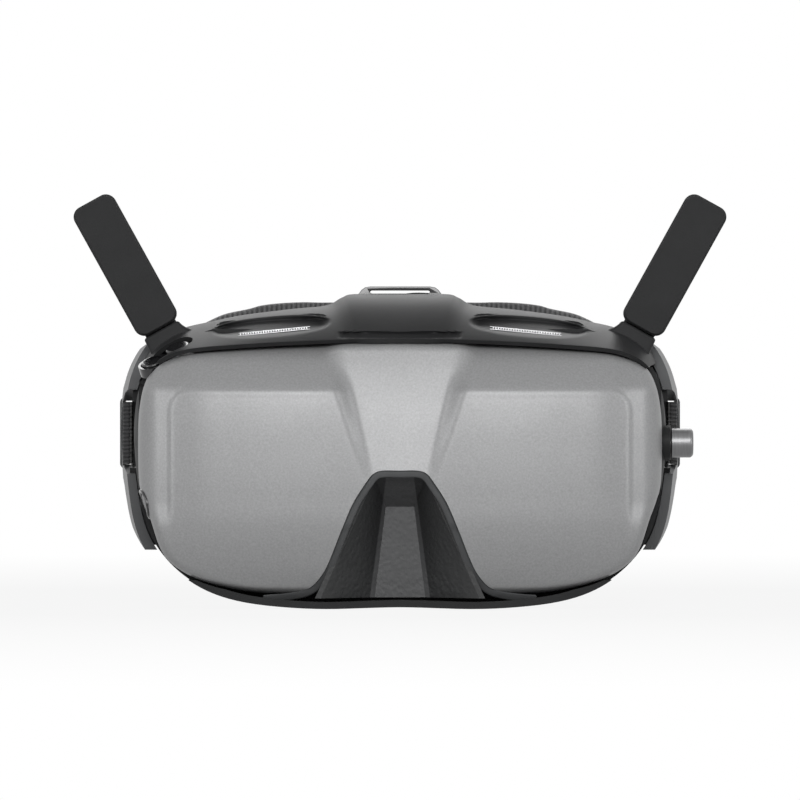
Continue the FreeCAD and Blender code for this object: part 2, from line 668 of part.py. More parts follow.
def make_lens(x, depth, thick, radius, label):
    """A lens with both faces domed and a plain edge that sits in the barrel."""
    dome = thick * 0.32
    ball = (radius ** 2 + dome ** 2) / (2 * dome)
    foremost = V(x, at_depth(depth), size("eye_height"))
    lens = Part.makeCylinder(radius, thick, foremost, BACKWARD)
    for shift in (ball, thick - ball):
        lens = lens.common(Part.makeSphere(ball, foremost + V(0, shift, 0), BACKWARD))
    return feature(largest(lens), label)


def make_eye_distance_dial():
    """The side knob and the lead screw that it turns."""
    body = new_body("ipd_dial")
    pad(body, lambda s: bound_circle(s, "dims.dial_radius"), "dims.dial_length")
    ease(body, "Chamfer", "0.8", is_circle_at(size("dial_length")))
    line = {"turn": ALONG_X, "y": "dims.screw_depth", "z": "dims.screw_height"}
    place(body, "dims.body_width / 2 + dims.dial_collar + 0.2", line["y"], line["z"], ALONG_X)
    length = "dims.body_width - dims.frame_inset + dims.post_thick / 2 + 0.8 + dims.dial_collar"
    keep(cylinder("dims.screw_shaft", length, **line,
                  x="dims.frame_inset - dims.body_width / 2 - dims.post_thick / 2 - 0.6"), "lead_screw")
    collar = cut(cylinder("dims.dial_radius + 1", "dims.dial_collar + 2", **line, x="dims.body_width / 2 - 2"),
                 cylinder("dims.screw_shaft + dims.screw_clearance", "20", **line,
                          x="dims.body_width / 2 - 8"))
    keep(collar, "dial_collar")


# ---------------------------------------------------------------- electronics
def board_holes():
    """x and z of the four bolts that hold the board."""
    half, low = size("board_width") / 2 - 4, size("board_low")
    return [(sx * half, low + dz) for sx in (-1, 1) for dz in (4, size("board_height") - 4)]


def make_electronics():
    board = box("dims.board_width", "dims.board_thick", "dims.board_height", x="0 - dims.board_width / 2",
                y="dims.board_front", z="dims.board_low")
    for x, z in board_holes():
        board = cut(board, cylinder("dims.bolt_radius", "10", turn=ALONG_Y, x=str(x), y="dims.board_front - 4",
                                    z=str(z)))
    keep(board, "main_board")
    gap = "dims.bulkhead_front - dims.board_front - dims.board_thick"
    posts, bolts = [], []
    for x, z in board_holes():
        posts.append(cut(cylinder("dims.post_radius", gap, turn=ALONG_Y, x=str(x),
                                  y="dims.board_front + dims.board_thick", z=str(z)),
                         cylinder("dims.bolt_radius", "20", turn=ALONG_Y, x=str(x), y="dims.board_front", z=str(z))))
        bolts.append(fuse(
            cylinder("dims.bolt_head", "dims.bolt_head_thick", turn=ALONG_Y, x=str(x),
                     y="dims.board_front - dims.bolt_head_thick", z=str(z)),
            cylinder("dims.bolt_radius", "dims.bulkhead_front - dims.board_front + 1.5", turn=ALONG_Y, x=str(x),
                     y="dims.board_front", z=str(z))))
    keep(group(*posts), "board_posts")
    keep(group(*bolts), "board_bolts")
    chips = [box(str(w), "1.2", str(w), x=str(x), y="dims.board_front + dims.board_thick",
                 z=f"dims.board_low + {z}") for x, w, z in ((-30, 14, 6), (4, 12, 7), (26, 10, 9))]
    keep(group(*chips), "board_chips")
    sink = [box("2 * dims.sink_half", "dims.sink_base", "dims.board_height - 2", x="0 - dims.sink_half",
                y="dims.board_front - dims.sink_base", z="dims.board_low + 1")]
    for side in (-1, 1):
        for k in range(6):
            x = side * (16 + 2.8 * k) - 0.5
            sink.append(box("dims.fin_thick", "dims.fin_depth + 0.2", "dims.board_height - 2", x=str(x),
                            y="dims.board_front - dims.sink_base - dims.fin_depth", z="dims.board_low + 1"))
    keep(fuse(*sink), "heat_sink")
    make_fan()


def make_fan():
    """A small fan that blows along the fins: frame with three spokes and axle, and the rotor."""
    front_face = "dims.board_front - dims.sink_base - dims.fan_depth"
    centre = "dims.board_low + dims.board_height / 2"
    frame = cut(box("dims.fan_size", "dims.fan_depth", "dims.fan_size", x="0 - dims.fan_size / 2", y=front_face,
                    z=f"{centre} - dims.fan_size / 2"),
                cylinder("dims.fan_bore", "dims.fan_depth - 1", turn=ALONG_Y, y=f"{front_face} - 0.01", z=centre))
    axle = cylinder("dims.fan_axle", "dims.fan_depth - 0.8", turn=ALONG_Y, y=f"{front_face} + 0.8", z=centre)
    keep(fuse(frame, axle), "fan_frame")
    body = new_body("fan_rotor")
    def hub(sketch):
        bound_circle(sketch, "dims.fan_hub")
        bound_circle(sketch, "dims.fan_axle + 0.05")

    pad(body, hub, "dims.fan_depth - 2")

    def blade(sketch):
        centred_rectangle(sketch, "0.9", "dims.fan_radius - dims.fan_hub + 1", "dims.fan_hub - 1")

    feature_pad = pad(body, blade, "dims.fan_depth - 2.6")
    pattern = body.newObject("PartDesign::PolarPattern", "blades")
    pattern.Originals = [feature_pad]
    axis = next(f for f in body.Origin.OriginFeatures if f.Role == "Z_Axis")
    pattern.Axis = (axis, [""])
    bind(pattern, Occurrences="dims.fan_blades")
    pattern.Angle = 360
    body.Tip = pattern
    doc.recompute()
    place(body, "0", f"{front_face} + 0.6", centre, ALONG_Y)


# ---------------------------------------------------------------- controls
def pod_turn():
    """Turns the pod's own frame: first tipped towards the front, then leaned outwards."""
    return Rotation(V(0, 1, 0), -size("pod_lean")).multiply(Rotation(V(1, 0, 0), size("pod_tip")))


def pod_placement(shape):
    middle = V(size("pod_inset") - body_half(), at_depth(size("pod_depth")), size("tower_top") - size("pod_drop"))
    shape.Placement = FreeCAD.Placement(middle, pod_turn())
    return shape


def stadium(half_length, radius, low, high):
    """A round-ended bar along the local X axis."""
    solid = Part.makeBox(2 * half_length, 2 * radius, high - low, V(-half_length, -radius, low))
    for x in (-half_length, half_length):
        solid = solid.fuse(Part.makeCylinder(radius, high - low, V(x, 0, low)))
    return solid.removeSplitter()


def pod_tool(grow, height):
    """The space that the control pod and everything over it needs."""
    return pod_placement(stadium(size("pod_half_length"), size("pod_radius") + grow,
                                 -size("pod_thick") - grow * 0.5, height))


def make_controls():
    """Control pod with a four-way stick that also presses, and a record key."""
    half, thick = size("pod_half_length"), size("pod_thick")
    radius, gap = size("pod_radius"), size("key_gap")
    well = size("stick_well")
    pod = stadium(half, radius, -thick, 0)
    pod = pod.cut(Part.makeCylinder(well, thick, V(half, 0, -thick + 1)))
    pod = pod.cut(Part.makeCylinder(size("key_radius") + gap, thick, V(-half, 0, -thick + 1)))
    for sign in (-1, 1):  # bearings of the stick's ring
        pod = pod.cut(Part.makeCylinder(0.5 + 0.04, 2 * well + 1.2, V(half - well - 0.6, 0, -1.1), ACROSS))
    feature(largest(pod_placement(pod)), "control_pod")
    ring_radius = size("stick_ring")
    ring = Part.makeCylinder(ring_radius, 1.2, V(half, 0, -1.7)).cut(
        Part.makeCylinder(ring_radius - 0.8, 2, V(half, 0, -2)))
    for sign in (-1, 1):
        ring = ring.fuse(Part.makeCylinder(0.5, well - ring_radius + 0.9, V(half + sign * (ring_radius - 0.4), 0, -1.1),
                                           ACROSS * sign))
        ring = ring.cut(Part.makeCylinder(0.4 + 0.04, 3, V(half, 0, -1.1), V(0, sign, 0)))
    feature(largest(pod_placement(ring)), "stick_ring")
    stem_radius, lift = size("stick_stem"), size("stick_lift")
    stem = Part.makeCylinder(stem_radius, 1.8 + lift, V(half, 0, -1.8))
    stem = stem.fuse(Part.makeCylinder(0.4, 2 * ring_radius - 0.3, V(half, -ring_radius + 0.15, -1.1), V(0, 1, 0)))
    feature(largest(pod_placement(stem)), "stick_stem")
    cap_thick, cap_radius = size("stick_thick"), size("stick_radius")
    cap = Part.makeCylinder(cap_radius, cap_thick, V(half, 0, lift))
    top_edges = [e for e in cap.Edges if abs(e.BoundBox.ZMin - lift - cap_thick) < 1e-6 > e.BoundBox.ZLength]
    cap = cap.makeChamfer(0.4, top_edges[:1])
    cap = cap.cut(Part.makeCylinder(stem_radius + 0.05, 1.0, V(half, 0, lift - 0.001)))
    feature(largest(pod_placement(cap)), "stick_cap")
    stem_cut = size("press_travel")
    key = Part.makeCylinder(size("key_radius"), 1 + size("key_lift"), V(-half, 0, -1))
    key = key.fuse(Part.makeCylinder(1.2, thick - 2 - stem_cut, V(-half, 0, -thick + 1 + stem_cut)))
    edge = [e for e in key.Edges if abs(e.BoundBox.ZMin - size("key_lift")) < 1e-6 > e.BoundBox.ZLength]
    key = key.makeFillet(0.5, edge[:1])
    feature(largest(pod_placement(key)), "record_key")


def make_link_button():
    """The round pairing button in the side of the front cover, in a thin black bezel."""
    half = cover_half()
    y, z = at_depth(size("link_depth")), size("link_height")
    radius, bezel, gap = size("link_radius"), size("link_bezel"), size("key_gap")
    x = -half * 0.982
    ring = Part.makeCylinder(radius + bezel, 3.4, V(x - 0.7, y, z), ACROSS)
    ring = ring.cut(Part.makeCylinder(radius + gap, 2.7, V(x - 0.8, y, z), ACROSS))
    feature(ring, "link_bezel")
    button = Part.makeCylinder(radius, 1.8, V(x - 0.6, y, z), ACROSS)
    feature(button, "link_button")


def link_tool():
    half = cover_half()
    return Part.makeCylinder(size("link_radius") + size("link_bezel"), 30,
                             V(-half - 20, at_depth(size("link_depth")), size("link_height")), ACROSS)


# ---------------------------------------------------------------- aerials
def aerial_turn(side):
    """The aerial's own frame: X across the blade outwards, Z along it, Y to the back."""
    return Rotation(V(0, 1, 0), side * size("aerial_lean"))


def aerial_place(shape, side):
    foot = V(side * (body_half() - size("aerial_inset")), at_depth(size("aerial_depth")),
             size("tower_top") - size("aerial_drop"))
    shape.Placement = FreeCAD.Placement(foot, aerial_turn(side))
    return shape


def aerial_seat(side):
    """The block that carries the aerial's hinge, down into the top cover."""
    half = size("knuckle_half") + size("ear_gap") + size("ear_thick")
    radius, rise, back = size("hinge_radius"), size("hinge_rise"), size("hinge_back")
    drop = size("mount_drop")
    seat = Part.makeBox(2 * half, 2 * radius, drop + rise, V(-half, back - radius, -drop))
    seat = seat.fuse(Part.makeCylinder(radius, 2 * half, V(-half, back, rise), ACROSS))
    return aerial_place(seat.removeSplitter(), side)


def runs_along_y(edge):
    box = edge.BoundBox
    return box.YLength > 0.1 > box.XLength + box.ZLength


def make_aerial(side, name):
    half, gap = size("knuckle_half"), size("ear_gap")
    radius, rise, back = size("hinge_radius"), size("hinge_rise"), size("hinge_back")
    pin, run = size("hinge_pin"), size("hinge_clearance")
    ear = half + gap + size("ear_thick")
    drop = size("mount_drop")
    mount = Part.makeBox(2 * ear, 2 * radius, drop + rise, V(-ear, back - radius, -drop))
    mount = mount.fuse(Part.makeCylinder(radius, 2 * ear, V(-ear, back, rise), ACROSS))
    slot = 2 * (half + gap)
    mount = mount.cut(Part.makeBox(slot, 20, 20, V(-slot / 2, back - 10, rise - radius - 0.5)))
    mount = mount.cut(Part.makeCylinder(pin, 2 * ear + 2, V(-ear - 1, back, rise), ACROSS))
    feature(largest(aerial_place(mount.removeSplitter(), side)), f"aerial_mount_{name}")
    pin_solid = Part.makeCylinder(pin, 2 * ear, V(-ear, back, rise), ACROSS)
    feature(aerial_place(pin_solid, side), f"aerial_pin_{name}")
    width, length, thick = size("aerial_width"), size("aerial_length"), size("aerial_thick")
    cap = size("aerial_cap")
    blade = Part.makeBox(width, thick - cap, length, V(-width / 2, -thick / 2 + cap, 0))
    blade = blade.makeFillet(3.4, [e for e in blade.Edges if runs_along_y(e)])
    knuckle = Part.makeCylinder(radius, 2 * half, V(-half, back, rise), ACROSS)
    web = Part.makeBox(2 * half, back - thick / 2 + 0.5, 2 * radius - 0.4,
                       V(-half, thick / 2 - 0.5, rise - radius + 0.2))
    blade = blade.fuse(knuckle).fuse(web)
    blade = blade.cut(Part.makeCylinder(pin + run, 2 * half + 2, V(-half - 1, back, rise), ACROSS))
    feature(largest(aerial_place(blade.removeSplitter(), side)), f"aerial_blade_{name}")
    cover = Part.makeBox(width - 0.8, cap, length - 0.8, V(-width / 2 + 0.4, -thick / 2, 0.4))
    cover = cover.makeFillet(3.2, [e for e in cover.Edges if runs_along_y(e)])
    feature(aerial_place(cover, side), f"aerial_cap_{name}")


# ---------------------------------------------------------------- side arms and headband
def arm_outline():
    """The side arm seen from the side: two prongs that meet in the sleeve of the strap."""
    front_edge, throat, back = size("arm_front"), size("arm_throat"), size("arm_back")
    high, low, middle = size("tower_top") - size("arm_drop"), size("arm_low"), size("strap_middle")
    half = size("strap_height") / 2 + size("strap_gap") + size("sleeve_wall")
    outer = [(front_edge, high), (front_edge + 18, high - 2), (throat - 6, middle + half + 5), (throat + 8, middle + half),
             (back, middle + half), (back, middle - half), (throat + 8, middle - half),
             (throat - 6, middle - half - 5), (front_edge + 20, low + 7), (front_edge, low)]
    window = [(front_edge - 1, middle - 13), (front_edge - 1, middle + 14), (front_edge + 16, middle + 13),
              (throat - 4, middle + half - 2), (throat + 1, middle), (throat - 4, middle - half + 2),
              (front_edge + 18, middle - 11)]
    return outer, window


def side_prism(points, x0, x1):
    loop = [V(x0, at_depth(d), z) for d, z in points]
    return Part.Face(Part.makePolygon(loop + loop[:1])).extrude(V(x1 - x0, 0, 0))


def flared(grow, ahead, back):
    """The housing's outline grown and swept back, opening outwards up to the throat of the side arm."""
    start, throat, wide = size("arm_front") - ahead, size("arm_throat"), grow + size("arm_flare")
    wires = [closed_curve(body_outline(0, g), d).OuterWire for g, d in ((grow, start), (wide, throat))]
    return Part.makeLoft(wires, True).fuse(between(throat, back, body_outline(0, wide)))


def make_arm(side, name):
    """One side arm: a curved plate that hugs the housing, with pegs into it and a sleeve for the strap."""
    gap, thick = size("arm_gap"), size("arm_thick")
    outer, window = arm_outline()
    back = size("arm_back")
    ring = flared(gap + thick, 0, back).cut(flared(gap, 1, back + 1))
    x0, x1 = sorted((side * (body_half() - 24), side * (body_half() + 46)))
    plate = ring.common(side_prism(outer, x0, x1)).cut(side_prism(window, x0, x1))
    half = size("strap_height") / 2 + size("strap_gap")
    wall = size("sleeve_wall")
    across = size("strap_thick") / 2 + size("strap_gap")
    throat, middle = size("arm_throat"), size("strap_middle")
    sx = side * strap_middle_x()
    sleeve = block(sx - across - wall, sx + across + wall, throat + 2, back,
                   middle - half - wall, middle + half + wall)
    longways = [e for e in sleeve.Edges if e.BoundBox.YLength > 5]
    sleeve = sleeve.makeFillet(1.8, longways)
    tunnel = block(sx - across, sx + across, throat - 12, back + 1, middle - half, middle + half)
    arm = plate.fuse(sleeve).cut(tunnel)
    inside = between(0, 120, body_outline(size("wall") + 1))
    housing = between(0, 120, body_outline())
    reach = between(0, 120, body_outline(0, gap + 1))
    for peg in peg_lines(side, size("arm_peg")):
        arm = arm.fuse(peg.cut(inside).common(reach))
    for boss in peg_lines(side, size("arm_peg") + 2):
        arm = arm.fuse(boss.cut(housing).common(reach))
    return feature(largest(arm.removeSplitter()), f"side_arm_{name}")


def peg_lines(side, radius):
    """Two short bars through the side wall, where an arm's pegs and bosses are."""
    start = side * (body_half() - 18)
    return [Part.makeCylinder(radius, 30, V(start, at_depth(49), z), ACROSS * side) for z in (32, 73)]


def peg_holes():
    return peg_lines(-1, size("arm_peg")) + peg_lines(1, size("arm_peg"))


def head_curve(grow):
    """The plan line of the headband, grown outwards: straight along the arms, then half an ellipse."""
    half = strap_middle_x() + grow
    straight = size("strap_straight")
    depth = size("overall_depth") - size("pack_thick") / 2 - straight + grow
    return half, depth, straight


def head_ring(grow_in, grow_out, low=-5.0, high=120.0):
    """The space between two grown copies of the headband's plan line, behind the start of its bend."""
    faces = []
    for grow in (grow_out, grow_in):
        half, depth, straight = head_curve(grow)
        large, small = (depth, half) if depth > half else (half, depth)
        ellipse = Part.Ellipse(V(0, 0, low), large, small)
        shape = Part.Face(Part.Wire(ellipse.toShape()))
        if depth > half:
            shape.rotate(V(0, 0, 0), UP, 90)
        shape.translate(V(0, at_depth(straight), 0))
        faces.append(shape.extrude(V(0, 0, high - low)))
    ring = faces[0].cut(faces[1])
    return ring.cut(block(-150, 150, -50, size("strap_straight"), low - 5, high + 5))


def strap_band():
    """The headband seen from the side: level in the sleeves, then down to the battery pack."""
    half, middle = size("strap_height") / 2, size("strap_middle")
    low_middle = size("pack_height") / 2
    line = [(size("strap_front") - 1, middle), (size("strap_straight"), middle),
            (size("strap_straight") + 22, middle - 3.5), (size("overall_depth") - 36, low_middle + 4),
            (size("overall_depth") + 10, low_middle)]
    upper = [(d, z + half) for d, z in line]
    lower = [(d, z - half) for d, z in reversed(line)]
    return side_prism(upper + lower, -130, 130)


def make_strap(side, name):
    thick, start = size("strap_thick"), size("strap_front")
    straight = size("strap_straight")
    sx = side * strap_middle_x()
    flat = block(sx - thick / 2, sx + thick / 2, start, straight, 0, 120)
    curved = head_ring(-thick / 2, thick / 2)
    half = size("pack_half") - 4
    x0, x1 = sorted((side * half, side * 130))
    curved = curved.common(block(x0, x1, 0, 300, -10, 130))
    strap = flat.fuse(curved).common(strap_band())
    return feature(largest(strap.removeSplitter()), f"strap_{name}")


def make_pack():
    """The battery pack: case, inner lid, three flat cells, board, power key, lights and pad."""
    half, height, thick, wall = size("pack_half"), size("pack_height"), size("pack_thick"), size("pack_wall")
    reach = thick / 2

    def slab(grow_in, grow_out, inset):
        ring = head_ring(grow_in, grow_out, inset, height - inset)
        return ring.common(block(-half + inset, half - inset, size("strap_straight") + 20, 300, -5, 130))

    solid = slab(-reach, reach, 0)
    outer_edges = at_depth(size("overall_depth") - 8)
    solid = solid.makeFillet(5, [e for e in solid.Edges
                                 if e.BoundBox.XLength > half and e.BoundBox.YMax > outer_edges])
    hollow = slab(-reach + wall, reach - wall, wall)
    case = solid.cut(hollow).cut(slab(-reach - 1, -reach + wall + 0.01, wall))
    key_z = height / 2
    for x in (-13, 13):
        for z in (key_z - 13, key_z + 13):
            post = Part.makeCylinder(2, 10, V(x, at_depth(pack_board_depth()), z), BACKWARD)
            case = case.fuse(post.common(slab(-reach, reach - 1, 0)))
    deepest = size("overall_depth")
    back = Part.makeCylinder(size("power_radius") + size("key_gap"), 40,
                             V(0, at_depth(deepest - 15), key_z), BACKWARD)
    case = case.cut(back)
    lights = []
    for k in range(4):
        x = 14 + k * size("light_pitch")
        light = Part.makeCylinder(size("light_radius"), 12, V(x, at_depth(deepest - 12), key_z), BACKWARD)
        piece = light.common(slab(reach - wall, reach + 0.3, 0))
        case = case.cut(light)
        lights.append(piece)
    strap_slots = head_ring(-size("strap_thick") / 2, size("strap_thick") / 2).common(strap_band())
    case = case.cut(strap_slots)
    feature(largest(case), "pack_case")
    feature(Part.makeCompound([s for p in lights for s in p.Solids]), "pack_lights")
    lid = slab(-reach, -reach + wall, wall).cut(strap_slots)
    feature(largest(lid), "pack_lid")
    make_cells(key_z)
    key = Part.makeCylinder(size("power_radius"), 4.2, V(0, at_depth(deepest - 3.8), key_z), BACKWARD)
    feature(key, "power_key")
    pad_solid = head_ring(-reach - size("rear_pad"), -reach - size("soft_gap")).common(
        block(-half + 4, half - 4, size("strap_straight") + 20, 300, 6, height - 6))
    feature(largest(pad_solid), "rear_pad")


def cell_place(side, middle):
    """Where a flat cell stands, near an end wall, so that its corners just clear the bent outer wall."""
    half, depth, straight = head_curve(size("pack_thick") / 2 - size("pack_wall") - size("cell_gap"))
    across = size("pack_half") - size("pack_wall") - size("cell_margin") - size("cell_width") / 2
    turn = side * math.asin(across / half)
    lean = math.atan2(depth * math.sin(turn), half * math.cos(turn))
    touch_x, touch_y = half * math.sin(turn), depth * math.cos(turn)
    out_x, out_y = math.sin(lean), math.cos(lean)
    sink = 0
    for along in (-size("cell_width") / 2, size("cell_width") / 2):
        x, y = touch_x + along * out_y, touch_y - along * out_x
        square = (out_x / half) ** 2 + (out_y / depth) ** 2
        linear = x * out_x / half ** 2 + y * out_y / depth ** 2
        excess = (x / half) ** 2 + (y / depth) ** 2 - 1
        sink = max(sink, (linear - math.sqrt(linear ** 2 - square * excess)) / square)
    inward = sink + size("cell_thick") / 2
    place_at = V(touch_x - out_x * inward, at_depth(straight + touch_y - out_y * inward), middle)
    return FreeCAD.Placement(place_at, Rotation(UP, -math.degrees(lean)))


def make_cells(middle):
    """Two flat cells against the outer wall of the pack, and a small board behind the key."""
    wide, thick, tall = size("cell_width"), size("cell_thick"), size("cell_height")
    cells = []
    for side in (-1, 1):
        cell = Part.makeBox(wide, thick, tall, V(-wide / 2, -thick / 2, -tall / 2))
        cell.Placement = cell_place(side, middle)
        cells.append(cell)
    feature(Part.makeCompound(cells), "battery_cells")
    d = pack_board_depth()
    board = block(-16, 16, d - size("pack_board"), d, middle - 16, middle + 16)
    feature(board, "pack_board")


def pack_board_depth():
    """Where the back of the battery board stands on its four posts."""
    return size("overall_depth") - size("pack_wall") - 3.4


def make_top_loop():
    """The glossy loop on the raised middle, for a strap over the head."""
    half, top, bar = size("loop_width") / 2, size("tower_top") + size("loop_rise"), size("loop_bar")
    d, thick = size("loop_depth"), size("loop_thick")
    foot = loop_foot()
    loop = block(-half, half, d, d + thick, foot, top)
    upright = [e for e in loop.Edges if e.BoundBox.YLength > 1 and e.BoundBox.ZMax > top - 0.1]
    loop = loop.makeFillet(2.4, upright)
    hole = block(-half + 3.3, half - 3.3, d - 1, d + thick + 1, foot + size("loop_floor"), top - bar)
    loop = loop.cut(hole.makeFillet(0.6, [e for e in hole.Edges if e.BoundBox.YLength > 3]))
    return feature(loop, "top_loop")


def loop_feet():
    """The seat of the loop in the top cover, and the shallow dip that its strap runs through."""
    half, start = size("loop_width") / 2, size("loop_depth")
    above = size("tower_top") + 10
    feet = block(-half, half, start, start + size("loop_thick"), loop_foot(), above)
    dip = block(3.3 - half, half - 3.3, start - 2.6, 80, loop_foot() + size("loop_floor"), above)
    return feet.fuse(dip)


def main():
    make_front_cover()
    make_cover_trim()
    make_nose_cover()
    make_top_cover()
    make_vent_grilles()
    make_main_housing()
    make_face_plate()
    make_nose_pocket()
    make_face_foam()
    make_nose_flap()
    make_bulkhead()
    make_guide_rods()
    for side, name, x in eye_centres():
        make_eyepiece(side, name, x)
    make_eye_distance_dial()
    make_electronics()
    make_controls()
    make_link_button()
    for side, name in ((-1, "right"), (1, "left")):
        make_aerial(side, name)
        make_arm(side, name)
        make_strap(side, name)
    make_pack()
    make_top_loop()
    doc.recompute()
    write_parts()


def write_parts():
    """Checks every sub-part and writes it out."""
    for thing in doc.Objects:
        if {"Invalid", "Error"} & set(thing.State):
            raise ValueError(f"{thing.Label} is in state {thing.State}")
    os.makedirs("parts", exist_ok=True)
    for thing in nodes:
        shape = thing.Shape
        if shape.isNull() or not shape.isValid() or not shape.Solids:
            raise ValueError(f"{thing.Label} has no sound solid")
        shape.exportStep(f"parts/{thing.Label}.step")
    print(f"wrote {len(nodes)} sub-parts")


main()
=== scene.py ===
# %% [markdown]
# Video goggles for flying model aircraft. The mechanical frame comes first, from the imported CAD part. The shells
# that a person looks at are then modelled over it, and every other node gets its own finish. Lengths are in metres,
# +Z is up and -Y points away from the wearer's face, towards a viewer who stands in front.

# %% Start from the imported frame
import json
import math
import bpy
import numpy as np
from mathutils import Matrix, Vector


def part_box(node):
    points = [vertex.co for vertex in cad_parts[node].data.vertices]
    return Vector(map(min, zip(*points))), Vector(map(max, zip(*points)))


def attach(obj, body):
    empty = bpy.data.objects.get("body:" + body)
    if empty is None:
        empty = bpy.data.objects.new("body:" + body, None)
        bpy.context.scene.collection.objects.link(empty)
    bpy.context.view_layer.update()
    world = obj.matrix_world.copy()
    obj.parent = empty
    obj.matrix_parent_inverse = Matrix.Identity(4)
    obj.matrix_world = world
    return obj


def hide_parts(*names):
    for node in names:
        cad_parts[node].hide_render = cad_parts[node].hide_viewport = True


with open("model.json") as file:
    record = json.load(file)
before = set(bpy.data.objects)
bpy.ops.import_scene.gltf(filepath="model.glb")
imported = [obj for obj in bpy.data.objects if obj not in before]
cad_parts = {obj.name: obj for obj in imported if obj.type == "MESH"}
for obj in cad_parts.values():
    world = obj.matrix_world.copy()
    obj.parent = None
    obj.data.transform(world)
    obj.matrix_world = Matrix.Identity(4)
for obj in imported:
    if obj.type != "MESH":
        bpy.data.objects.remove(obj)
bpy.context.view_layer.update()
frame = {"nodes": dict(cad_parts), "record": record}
MM = 0.001
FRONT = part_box("front_cover")[0][1]
MIDDLE_HEIGHT = 46           # mm, the height from which the outlines are measured
SEAM_GAP = 2e-6              # m, points of a CAD mesh closer than this are one point
nodes = frame["nodes"]


def depth(mm):
    """The Y of a point that lies this many millimetres behind the foremost one."""
    return FRONT + mm * MM


# %% [markdown]
# Shader groups. The same small effects, such as the sparkle of a metallic paint or the fine grain of a moulding, are
# used by several finishes. Each is built once as a node group that puts out a mask or a height, and each material
# then uses it with its own scale and strength.

# %% Helpers for node trees
def link_all(tree, pairs):
    for a, b in pairs:
        tree.links.new(a, b)


def new_group(name, inputs, outputs):
    tree = bpy.data.node_groups.new(name, "ShaderNodeTree")
    for label, kind, value in inputs:
        socket = tree.interface.new_socket(label, in_out="INPUT", socket_type=kind)
        if value is not None:
            socket.default_value = value
    for label, kind in outputs:
        tree.interface.new_socket(label, in_out="OUTPUT", socket_type=kind)
    return tree, tree.nodes.new("NodeGroupInput"), tree.nodes.new("NodeGroupOutput")


def maths(tree, kind, a, b=0.0, clamp=False):
    node = tree.nodes.new("ShaderNodeMath")
    node.operation = kind
    node.use_clamp = clamp
    for k, value in enumerate((a, b)):
        if isinstance(value, (int, float)):
            node.inputs[k].default_value = value
        else:
            tree.links.new(value, node.inputs[k])
    return node.outputs[0]


def noise(tree, vector, scale, detail=2.0, rough=0.5):
    node = tree.nodes.new("ShaderNodeTexNoise")
    node.inputs["Detail"].default_value = detail
    node.inputs["Roughness"].default_value = rough
    if isinstance(scale, (int, float)):
        node.inputs["Scale"].default_value = scale
    else:
        tree.links.new(scale, node.inputs["Scale"])
    tree.links.new(vector, node.inputs["Vector"])
    return node.outputs["Fac"]


# %% Groups: speckle, grain, rib
def build_speckle():
    """Fine metallic flakes: a value that sparkles about zero, and a slow cloud for the roughness."""
    tree, gin, gout = new_group("speckle", [("Vector", "NodeSocketVector", None),
                                            ("Scale", "NodeSocketFloat", 2600.0)],
                                [("Value", "NodeSocketFloat"), ("Cloud", "NodeSocketFloat")])
    fine = noise(tree, gin.outputs["Vector"], gin.outputs["Scale"], 3.0, 0.7)
    cloud = noise(tree, gin.outputs["Vector"], 60.0, 2.0)
    centred = maths(tree, "SUBTRACT", fine, 0.5)
    link_all(tree, [(centred, gout.inputs["Value"]), (cloud, gout.inputs["Cloud"])])
    return tree


def build_grain():
    """The pebbled surface of a moulded shell, as a height and a slow colour variation."""
    tree, gin, gout = new_group("grain", [("Vector", "NodeSocketVector", None),
                                          ("Scale", "NodeSocketFloat", 1800.0)],
                                [("Height", "NodeSocketFloat"), ("Shade", "NodeSocketFloat")])
    cells = tree.nodes.new("ShaderNodeTexVoronoi")
    cells.feature = "SMOOTH_F1"
    link_all(tree, [(gin.outputs["Vector"], cells.inputs["Vector"]), (gin.outputs["Scale"], cells.inputs["Scale"])])
    fine = noise(tree, gin.outputs["Vector"], gin.outputs["Scale"], 3.0)
    height = maths(tree, "ADD", maths(tree, "MULTIPLY", cells.outputs["Distance"], 0.6),
                   maths(tree, "MULTIPLY", fine, 0.4))
    shade = noise(tree, gin.outputs["Vector"], 90.0, 3.0)
    link_all(tree, [(height, gout.inputs["Height"]), (shade, gout.inputs["Shade"])])
    return tree


def build_rib():
    """Knitted ribs: rows of loops along one direction, with the loops' own small bumps."""
    tree, gin, gout = new_group("rib", [("Vector", "NodeSocketVector", None),
                                        ("Ribs", "NodeSocketFloat", 1100.0), ("Loops", "NodeSocketFloat", 1500.0)],
                                [("Height", "NodeSocketFloat"), ("Thread", "NodeSocketFloat")])
    split = tree.nodes.new("ShaderNodeSeparateXYZ")
    tree.links.new(gin.outputs["Vector"], split.inputs[0])
    across = maths(tree, "MULTIPLY", split.outputs["X"], gin.outputs["Ribs"])
    rib = maths(tree, "SINE", maths(tree, "MULTIPLY", across, math.tau))
    along = maths(tree, "ADD", split.outputs["Y"], split.outputs["Z"])
    along = maths(tree, "MULTIPLY", along, gin.outputs["Loops"])
    zigzag = maths(tree, "PINGPONG", maths(tree, "ADD", along, maths(tree, "MULTIPLY", across, 0.5)), 0.5)
    fuzz = noise(tree, gin.outputs["Vector"], 2500.0, 2.0)
    height = maths(tree, "ADD", maths(tree, "MULTIPLY", rib, 0.6), maths(tree, "MULTIPLY", zigzag, 0.3))
    height = maths(tree, "ADD", height, maths(tree, "MULTIPLY", fuzz, 0.35))
    link_all(tree, [(height, gout.inputs["Height"]), (rib, gout.inputs["Thread"])])
    return tree


SPECKLE, GRAIN, RIB = build_speckle(), build_grain(), build_rib()
print("groups:", [g.name for g in (SPECKLE, GRAIN, RIB)])


